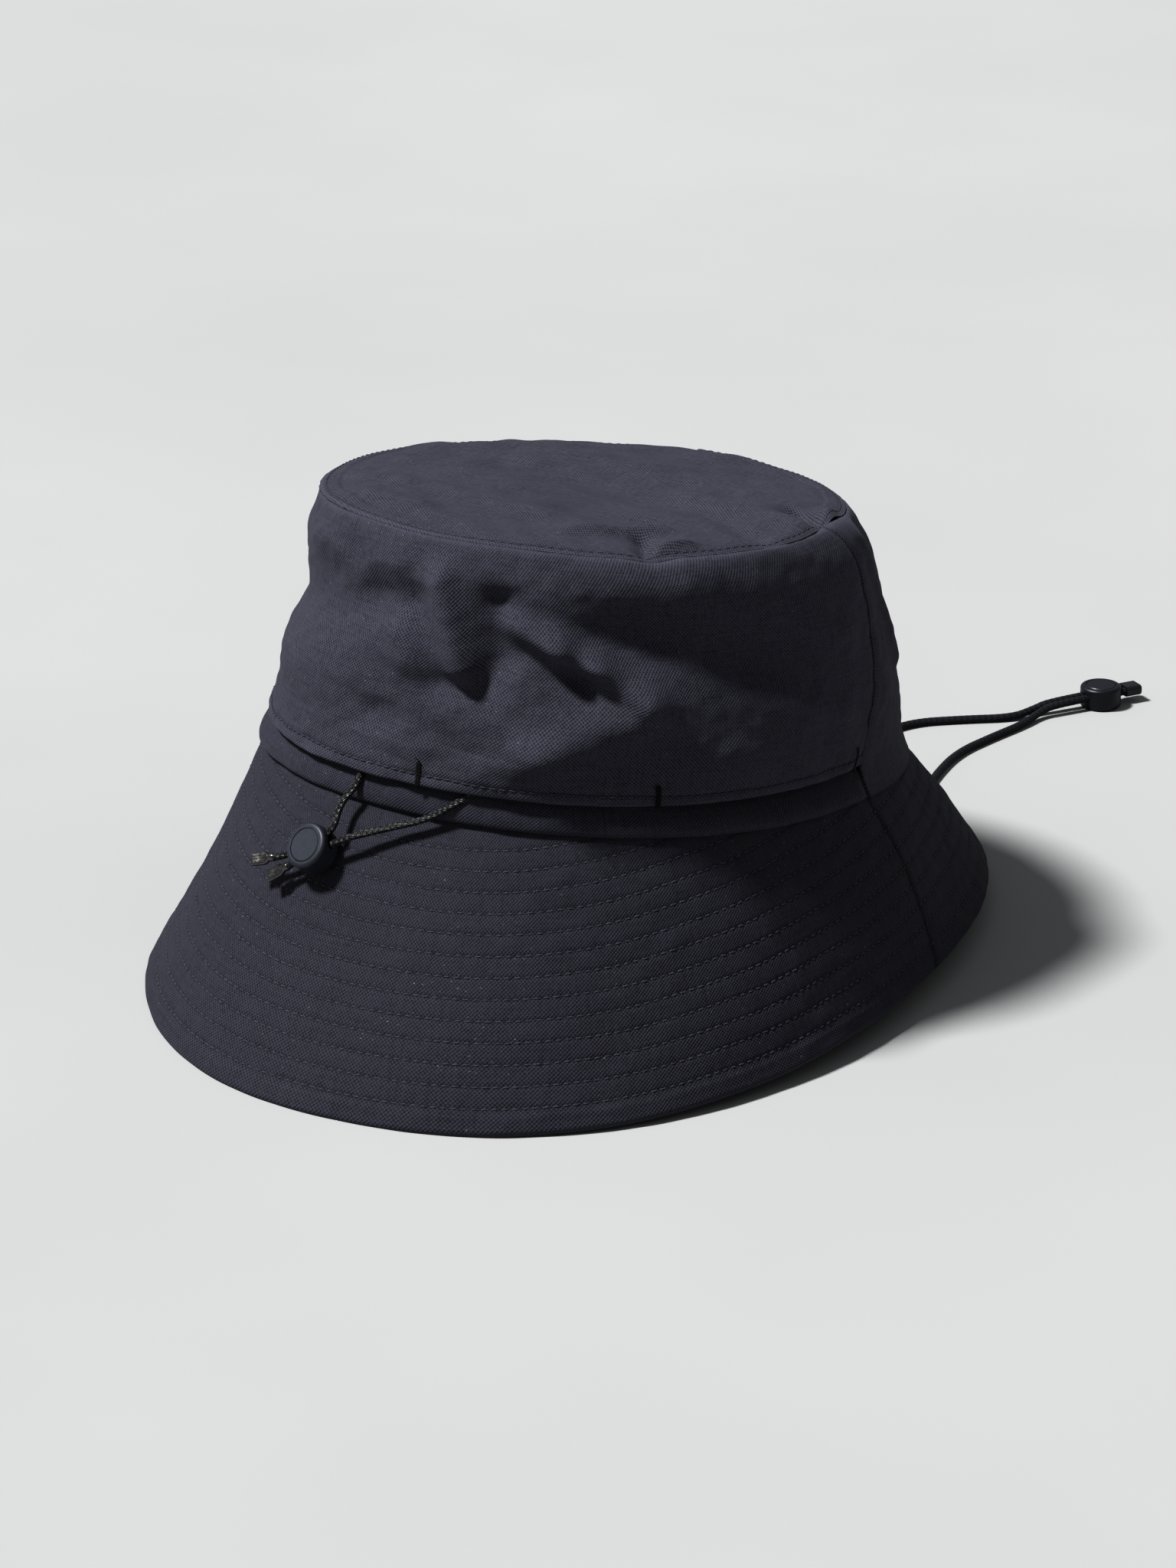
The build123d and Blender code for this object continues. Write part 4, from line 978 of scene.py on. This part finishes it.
# stitch rows of the brim, on both faces
for face, off in (("upper", 0.0), ("under", -2.35)):
    C, TT, NN = [], [], []
    for k in range(ROWN):
        s0 = ROW0 + k * ROWP
        d = np.linspace(-180, 180, 1441)
        P = brim(d, s0 + 0 * d, off, rows=(face == "upper"))
        Q = brim(d, s0 + 0.4 + 0 * d, off, rows=False)
        P0 = brim(d, s0 + 0 * d, off, rows=False)
        Tn = np.gradient(P0, axis=0)
        Nn = unit(np.cross(unit(Tn), unit(Q - P0)))
        if Nn[720, 2] < 0:
            Nn = -Nn
        ok = brim_len(d) > s0 + 1.2
        P2, N2 = resample_pair(P, Nn, 2.75, 0.21 * (k % 5))
        ln = np.linalg.norm(np.diff(P, axis=0), axis=1)
        scum = np.concatenate([[0], np.cumsum(ln)])
        q = np.arange(2.75 * 0.5 + 0.21 * (k % 5), scum[-1] - 2.75 * 0.4, 2.75)
        keep = np.interp(q, scum, ok.astype(float)) > 0.99
        T2 = np.gradient(P2, axis=0)
        C.append(P2[keep]); TT.append(T2[keep]); NN.append(N2[keep])
    C, TT, NN = np.concatenate(C), np.concatenate(TT), np.concatenate(NN)
    if face == "under":
        NN = -NN
    stitches("brim_stitches_" + face, C, TT, NN, 2.05, 0.23, "thread", lift=0.12, seed=5)


def wall_row(d0, d1, tfun, step, name, off=0.0, length=2.1, rad=0.19, mat="thread", seed=2, lift=0.10, push=0.0):
    d = np.linspace(d0, d1, 900)
    t = tfun(d)
    fl = 0.9 * np.exp(-(t * 66 / 7.0) ** 2) * np.clip((1 - np.abs(d) / 90) / 0.08, 0, 1)
    P = wall(d, t, 0.10 + push + fl)
    Q = wall(d, t + 0.006, 0.10 + push + fl)
    N = unit(np.cross(np.gradient(P, axis=0), Q - P))
    out = place(d, 0 * d + 1.0, 0 * d) - place(d, 0 * d, 0 * d)
    sgn = np.sign((N * out).sum(-1).mean())
    P, N = resample_pair(P, N * sgn, step, off)
    return stitches(name, P, np.gradient(P, axis=0), N, length, rad, mat, lift=lift, seed=seed)


wall_row(-89.3, 89.3, lambda d: 3.2 / 66 + 0 * d, 2.7, "flap_topstitch")

# topstitch along the crown's top seam, on the top panel
d = np.linspace(-180, 180, 1500)
th = np.radians(d)
rad = 1 - 1.7 / 75
q = (np.abs(np.cos(th) / TOPR[1]) ** 2 + np.abs(np.sin(th) / TOPR[0]) ** 2) ** -0.5 * rad
P = top_point(q * np.sin(th), -q * np.cos(th))
P2 = top_point(q * 0.995 * np.sin(th), -q * 0.995 * np.cos(th))
N = unit(np.cross(np.gradient(P, axis=0), P2 - P))
N = N * np.sign(N[750, 2])
Pc, Nc = resample_pair(P, N, 2.7)
stitches("top_seam_topstitch", Pc, np.gradient(Pc, axis=0), Nc, 2.1, 0.19, "thread", lift=0.10, seed=7)


# ---------------------------------------------------------------- bar tacks
def lean(d, z):
    t = z / (at(Z3, d) - 0.9 - at(Z1, d))
    return at(R3, d) * t + 1.6 * np.sin(np.pi * np.clip(t, 0, 1))


C, TT, NN = [], [], []
for deg in (0.0, -86.0, 86.0, 38.0):
    hs = np.linspace(0.1, 6.3, 26)
    dd = deg + 0 * hs
    fl = 0.9 * np.exp(-(hs / 7.0) ** 2) * np.clip((1 - np.abs(dd) / 90) / 0.08, 0, 1)
    P = wall(dd, hs / 66, 0.24 + fl)
    side = wall(dd + 0.4, hs / 66, 0.24 + fl) - P
    up = np.gradient(P, axis=0)
    T0 = unit(side)
    U0 = unit(up)
    nrm = np.cross(T0, U0)
    outv = place(dd, 1.0 + 0 * dd, 0 * dd) - place(dd, 0 * dd, 0 * dd)
    nrm = nrm * np.sign((nrm * outv).sum(-1, keepdims=True))
    zig = np.where(np.arange(26) % 2 == 0, 1.0, -1.0)[:, None] * 0.17
    C.append(P + nrm * 0.12); TT.append(T0 + U0 * zig); NN.append(nrm)
    # two long threads under the zigzag
    for k in (-0.35, 0.35):
        Pl = P[::5] + T0[::5] * k
        C.append(Pl); TT.append(U0[::5]); NN.append(nrm[::5])
stitches("bar_tack_threads", np.concatenate(C), np.concatenate(TT), np.concatenate(NN), 1.75, 0.13, "tack", ("bar_tacks",), lift=0.05, jitter=0.1, seed=11)
# loose thread ends at two tacks
for nm, deg, pts in (("thread_end_back", 0.0, [(0.2, 5.9, 0.4), (0.5, 6.8, 0.9), (0.1, 7.9, 1.5), (-0.2, 8.3, 2.2)]),
                     ("thread_end_left", -86.0, [(0.0, 6.0, 0.3), (0.4, 7.0, 1.1), (0.2, 7.8, 2.1), (-0.3, 7.6, 3.0)])):
    line = []
    for a, h, o in pts:
        d1 = np.array([deg])
        base = wall(d1, np.array([h / 66]), 0.25)[0]
        line.append(base + (place(d1, np.array([1.0]), 0 * d1) - place(d1, np.array([0.0]), 0 * d1))[0] * o + (wall(d1 + 1, np.array([h / 66])) - wall(d1, np.array([h / 66])))[0] * a * 0.6)
    ob = tube(nm, resample(np.array(line), 0.15), 0.12, 6)
    dress(ob, "tack", "hat")


# ---------------------------------------------------------------- inside: sweatband, tapes, label, hem
def profile(rr, zz, ks, S):
    global knots
    keep, knots = knots, ks
    out = along(rr, S), along(zz, S)
    knots = keep
    return out


def sweat(D, S, off):
    k = 0.5 + 0.5 * np.tanh((np.cos(np.radians(D)) + 0.28) / 0.12)
    r2, z1, z2 = at(R2, D), at(Z1, D), at(Z2, D)
    low = z2 + 1.2
    u = (z1 - low) / (z1 - z2 - 0.4)
    back = [r2 - 1.8, r2 * 0.6 - 2.5, -3.3 - 1.2 + lean(D, -2.0), -3.3 - 1.3 + lean(D, 4.0), -3.3 - 1.4 + lean(D, 13.0)]
    front = [r2 * u * u - 1.8, r2 * 0.45 - 1.8, r2 * 0.05 - 1.7, lean(D, 4.0) - 1.6, lean(D, 13.0) - 1.6]
    rr = [k * b + (1 - k) * f - off for b, f in zip(back, front)]
    zz = [low, z1 - 6.0, z1 - 2.0, z1 + 4.0, z1 + 13.0]
    r, z = profile(rr, zz, [0.0, 0.14, 0.36, 0.62, 1.0], S)
    return place(D, r, z)


A, S = grid(0, 1, 560, 0, 1, 60)
D = -179.2 + A * 358.4
soft = 0.22 * np.abs(np.sin(D * 1.9 + 2.0 * S)) * np.sin(np.pi * S) + ripple(D, S * 20, n=12, seed=21, amp=0.08, low=15, high=80)
edge = 0.35 * (np.exp(-((S * 22 - 1.2) / 0.9) ** 2) + np.exp(-(((1 - S) * 22 - 1.2) / 0.9) ** 2))
ob = slab("sweatband_ribbon", sweat(D, S, 0.1), sweat(D, S, 1.0 + 0.35 * soft + edge * 0.5))
dress(ob, "knit", "hat", ("sweatband",))
# two stitch lines on the sweatband's inside
C, TT, NN = [], [], []
for sv in (0.07, 0.93):
    d = np.linspace(-178.5, 178.5, 900)
    P = sweat(d, sv + 0 * d, 1.25)
    n = place(d, 0 * d - 1.0, 0 * d) - place(d, 0 * d, 0 * d)
    P, n = resample_pair(P, n, 3.0)
    C.append(P); TT.append(np.gradient(P, axis=0)); NN.append(n)
stitches("sweatband_stitches", np.concatenate(C), np.concatenate(TT), np.concatenate(NN), 2.3, 0.18, "thread", seed=13)

# binding round the inside of the top seam
A, S = grid(0, 1, 480, 0.83, 0.98, 16)
D = -178.4 + A * 356.8
base = wall(D, S)
N = normals(base)
inw = place(D, 0 * D - 1.0, 0 * D) - place(D, 0 * D, 0 * D)
N = N * np.sign((N * inw).sum(-1, keepdims=True).mean())
bulge = 0.35 * np.sin(np.pi * (S - 0.83) / 0.15)[..., None]
ob = slab("top_seam_binding", base + N * 0.85, base + N * (1.3 + bulge))
dress(ob, "tape", "hat", ("top_seam_tape",))
for nm, c0 in (("right", 90.0), ("left", -90.0)):
    A, S = grid(0, 1, 26, 0.27, 0.81, 90)
    mid = c0 + (seam_shift(S) if c0 > 0 else 0 * S)
    D = mid - 3.2 + A * 6.4
    base = wall(D, S)
    N = normals(base)
    inw = place(D, 0 * D - 1.0, 0 * D) - place(D, 0 * D, 0 * D)
    N = N * np.sign((N * inw).sum(-1, keepdims=True).mean())
    bulge = 0.4 * np.sin(np.pi * A)[..., None]
    ob = slab("side_seam_binding_" + nm, base + N * 0.95, base + N * (1.35 + bulge))
    dress(ob, "tape", "hat", ("side_seam_tape_" + nm,))
    C, TT, NN = [], [], []
    for off in (0.15, 0.85):
        t = np.linspace(0.28, 0.80, 200)
        mid = c0 + (seam_shift(t) if c0 > 0 else 0 * t)
        P = wall(mid - 3.2 + off * 6.4, t)
        n = place(mid, 0 * t - 1.0, 0 * t) - place(mid, 0 * t, 0 * t)
        P, n = resample_pair(P + n * 1.55, n, 2.7)
        C.append(P); TT.append(np.gradient(P, axis=0)); NN.append(n)
    stitches("side_binding_stitches_" + nm, np.concatenate(C), np.concatenate(TT), np.concatenate(NN), 2.1, 0.16, "thread", seed=17)

# blank satin label hanging inside, with a soft curl
A, S = grid(0, 1, 40, 0, 1, 40)
D = -34 + A * 12
curl = 0.25 * np.sin(A * 5.0 + 1.0) * S
ob = slab("care_label_cloth", sweat(D, 0.08 + 0.86 * S, 1.75 + curl + 0.9 * (1 - S) ** 2), sweat(D, 0.08 + 0.86 * S, 2.05 + curl + 0.9 * (1 - S) ** 2))
dress(ob, "label", "hat", ("care_label",))
label = ob
W = float(np.linalg.norm(place(np.array([-22.0]), np.array([-5.0]), 0) - place(np.array([-34.0]), np.array([-5.0]), 0)))

# folded tape tabs that hold the chin cord at the side seams
for nm, c0, cord in (("right", 90.0, "chin_cord_right"), ("left", -90.0, "chin_cord_left")):
    lo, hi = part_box("chin_tab_" + nm)
    lo, hi = np.array(lo) / MM, np.array(hi) / MM
    cx, cy = (lo[0] + hi[0]) / 2, (lo[1] + hi[1]) / 2
    hx, hy, z0, z1 = (hi[0] - lo[0]) / 2, (hi[1] - lo[1]) / 2, lo[2], hi[2]
    h = np.linspace(0, 1, 46)
    th = np.linspace(0, 2 * np.pi, 49)[:-1]
    rings = []
    for t in h:
        z = z0 + (z1 - z0) * t
        end = math.sqrt(max(0.0, 1 - (1 - min(t / 0.07, 1)) ** 2)) * 0.25 + 0.75
        pinch = 0.78 + 0.22 * abs(math.cos(math.pi * (t - 0.05)))
        ct, st = np.cos(th), np.sin(th)
        ex = 0.35
        x = np.sign(ct) * np.abs(ct) ** ex * hx * pinch * end
        y = np.sign(st) * np.abs(st) ** ex * hy * end
        x = x * (1 + 0.05 * np.sin(9 * t + 3 * y / hy))
        rings.append(np.stack([cx + x, cy + y, z + 0 * x], -1))
    R = np.array(rings)
    nh, m = R.shape[:2]
    I, J = np.meshgrid(np.arange(nh - 1), np.arange(m), indexing="ij")
    K = (J + 1) % m
    q = np.stack([I * m + J, I * m + K, (I + 1) * m + K, (I + 1) * m + J], -1).reshape(-1, 4)
    sarc = np.linspace(0, 2 * (2 * hx + 2 * hy), m + 1)
    uv = np.stack([np.stack([sarc[J], (z1 - z0) * h[I]], -1), np.stack([sarc[J + 1], (z1 - z0) * h[I]], -1),
                   np.stack([sarc[J + 1], (z1 - z0) * h[I + 1]], -1), np.stack([sarc[J], (z1 - z0) * h[I + 1]], -1)], -2).reshape(-1, 4, 2)
    caps = []
    for b0, rev in ((0, True), ((nh - 1) * m, False)):
        for k in range(m // 2 - 1):
            c = [b0 + k, b0 + k + 1, b0 + m - 2 - k, b0 + m - 1 - k]
            caps.append(c[::-1] if rev else c)
    q = np.concatenate([q, np.array(caps)])
    uv = np.concatenate([uv, np.zeros((len(caps), 4, 2))])
    ob = new_mesh("chin_tab_" + nm + "_tape", R.reshape(-1, 3), q, uv)
    dress(ob, "tape", "hat", ("chin_tab_" + nm,))
    C, TT, NN = [], [], []
    sx = 1 if c0 < 0 else -1
    for zz_ in (z0 + 3.2, z0 + 9.5):
        yy = np.arange(-hy + 1.0, hy - 0.6, 0.75)
        C.append(np.stack([cx + sx * hx * 0.90 + 0 * yy, cy + yy, zz_ + 0 * yy], -1))
        TT.append(np.tile([0, 0.35, 1.0], (len(yy), 1)) * np.where(np.arange(len(yy)) % 2 == 0, 1, -1)[:, None] * [1, 1, 1])
        NN.append(np.tile([sx, 0, 0.0], (len(yy), 1)))
    stitches("chin_tab_stitches_" + nm, np.concatenate(C), np.concatenate(TT), np.concatenate(NN), 1.4, 0.16, "tack", seed=19)


# the drawcord's run inside the flap
def tunnel_point(d, r, dz):
    d = np.array([float(d)])
    return place(d, r + (lean(d, dz) if dz > 0 else 0), at(Z1, d) + dz)[0]


TUN = -1.85
TL = [tunnel_point(a, TUN, 5.0) for a in (-86, -78, -70, -62, -54, -46, -38, -31, -25)] + [tunnel_point(-19.6, TUN, 4.7), tunnel_point(-15.2, TUN, 3.2), tunnel_point(-12.6, TUN, 0.8)]
TR = [tunnel_point(a, TUN, 5.0) for a in (86, 78, 70, 62, 54, 46, 38, 30, 23)] + [tunnel_point(17.4, TUN, 4.6), tunnel_point(13.2, TUN, 2.9), tunnel_point(10.7, TUN, 0.9)]
for nm, pts in (("left", TL), ("right", TR)):
    line = resample(route(pts), 0.3)
    ob = tube("drawcord_tunnel_" + nm + "_braid", line, 0.93, 24, relief=relief(0.93, 16, 3.4, 0.08))
    dress(ob, "elastic", "hat", ("drawcord_tunnel_" + nm,))

# ---------------------------------------------------------------- ferrules: a round neck pressed flat
LOCK_N = unit(np.array([-0.245031, -0.787098, 0.566071]))
for nm, pts in (("left", LEFT), ("right", RIGHT)):
    p, q = np.array(pts[-1]), np.array(pts[-2])
    ax = unit(p - q)
    side = unit(np.cross(LOCK_N, ax))
    up = np.cross(ax, side)
    s = np.concatenate([np.linspace(0, 2.2, 12), np.linspace(2.4, 6.6, 26), np.linspace(6.7, 7.2, 7)])
    th = np.arange(40) * 2 * np.pi / 40
    rings = []
    for v in s:
        k = np.clip((v - 1.5) / 1.5, 0, 1)
        k = k * k * (3 - 2 * k)
        w = 1.15 + (1.85 - 1.15) * k
        hgt = 1.15 + (0.80 - 1.15) * k
        if v < 0.35:
            w, hgt = w * (0.93 + 0.2 * v), hgt * (0.93 + 0.2 * v)
        if 1.2 < v < 1.9:
            dip = 0.09 * math.sin(math.pi * (v - 1.2) / 0.7)
            w, hgt = w - dip, hgt - dip
        if v > 6.6:
            e = math.sqrt(max(0.0, 1 - ((v - 6.6) / 0.62) ** 2)) * 0.22 + 0.78
            w, hgt = w * e, hgt * e
        n = 1.0 - 0.45 * k
        ct, st = np.cos(th), np.sin(th)
        x = np.sign(ct) * np.abs(ct) ** n * w
        y = np.sign(st) * np.abs(st) ** n * hgt
        dent = 0.16 * k * np.exp(-((v - 4.4) / 1.5) ** 2) * np.exp(-(x / 1.0) ** 2)
        y = y - np.sign(y) * dent
        rings.append(p + ax * (v + 0.02) + x[:, None] * side + y[:, None] * up)
    R = np.array(rings)
    nh, m = R.shape[:2]
    I, J = np.meshgrid(np.arange(nh - 1), np.arange(m), indexing="ij")
    K = (J + 1) % m
    qd = np.stack([I * m + J, I * m + K, (I + 1) * m + K, (I + 1) * m + J], -1).reshape(-1, 4)
    caps = []
    for b0, rev in ((0, True), ((nh - 1) * m, False)):
        for k in range(m // 2 - 1):
            c = [b0 + k, b0 + k + 1, b0 + m - 2 - k, b0 + m - 1 - k]
            caps.append(c[::-1] if rev else c)
    qd = np.concatenate([qd, np.array(caps)])
    ob = new_mesh("ferrule_" + nm + "_crimp", R.reshape(-1, 3), qd)
    dress(ob, "gunmetal", "hat", ("ferrule_" + nm,))

# ---------------------------------------------------------------- locks: CAD bodies with their finish
for node, mat in (("adjuster_lock_body", "lock"), ("adjuster_lock_button", "button"), ("adjuster_lock_spring", "steel"),
                  ("chin_lock_body", "navyplastic"), ("chin_lock_button", "navyplastic"), ("chin_lock_spring", "steel"), ("chin_cord_end", "tab")):
    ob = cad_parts[node]
    if not ob.material_slots:
        ob.data.materials.append(M[mat])
    for sl in ob.material_slots:
        sl.material = M[mat]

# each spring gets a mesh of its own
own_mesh(bpy.data.objects["adjuster_lock_spring"])
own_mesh(bpy.data.objects["chin_lock_spring"])

# ---------------------------------------------------------------- floor, light, world
floor_me = bpy.data.meshes.new("floor")
g1 = np.linspace(-6, 6, 25)
FX, FY = np.meshgrid(g1, g1, indexing="ij")
fv = np.stack([FX, FY, 0 * FX], -1).reshape(-1, 3)
fi, fj = np.meshgrid(np.arange(24), np.arange(24), indexing="ij")
fq = np.stack([fi * 25 + fj, (fi + 1) * 25 + fj, (fi + 1) * 25 + fj + 1, fi * 25 + fj + 1], -1).reshape(-1, 4)
floor_me.from_pydata(fv.tolist(), [], fq.tolist())
floor = bpy.data.objects.new("floor", floor_me)
scene.collection.objects.link(floor)
fm = Nodes("pale_floor")
fo = fm.new("TexCoord").outputs["Object"]
fm.set(Base_Color=fm.mix(fm.span(fm.noise(fo, 3.0, 3.0), 0.3, 0.7), (0.272, 0.272, 0.272), (0.288, 0.288, 0.288)), Roughness=0.9)
fm.b.inputs["Specular IOR Level"].default_value = 0.1
floor_me.materials.append(fm.mat)

world = bpy.data.worlds.new("world")
scene.world = world
world.use_nodes = True
bg = world.node_tree.nodes["Background"]
bg.inputs[0].default_value = (0.95, 0.97, 1.0, 1.0)
bg.inputs[1].default_value = 0.42

sun_data = bpy.data.lights.new("key", "SUN")
sun_data.energy = 8.9
sun_data.angle = math.radians(9)
sun = bpy.data.objects.new("key", sun_data)
scene.collection.objects.link(sun)
az, el = math.radians(-53.0), math.radians(58.0)
direction = np.array([math.sin(az) * math.cos(el), -math.cos(az) * math.cos(el), math.sin(el)])
from mathutils import Vector
sun.rotation_euler = Vector(direction.tolist()).to_track_quat("Z", "Y").to_euler()
sun.location = (direction * 2).tolist()
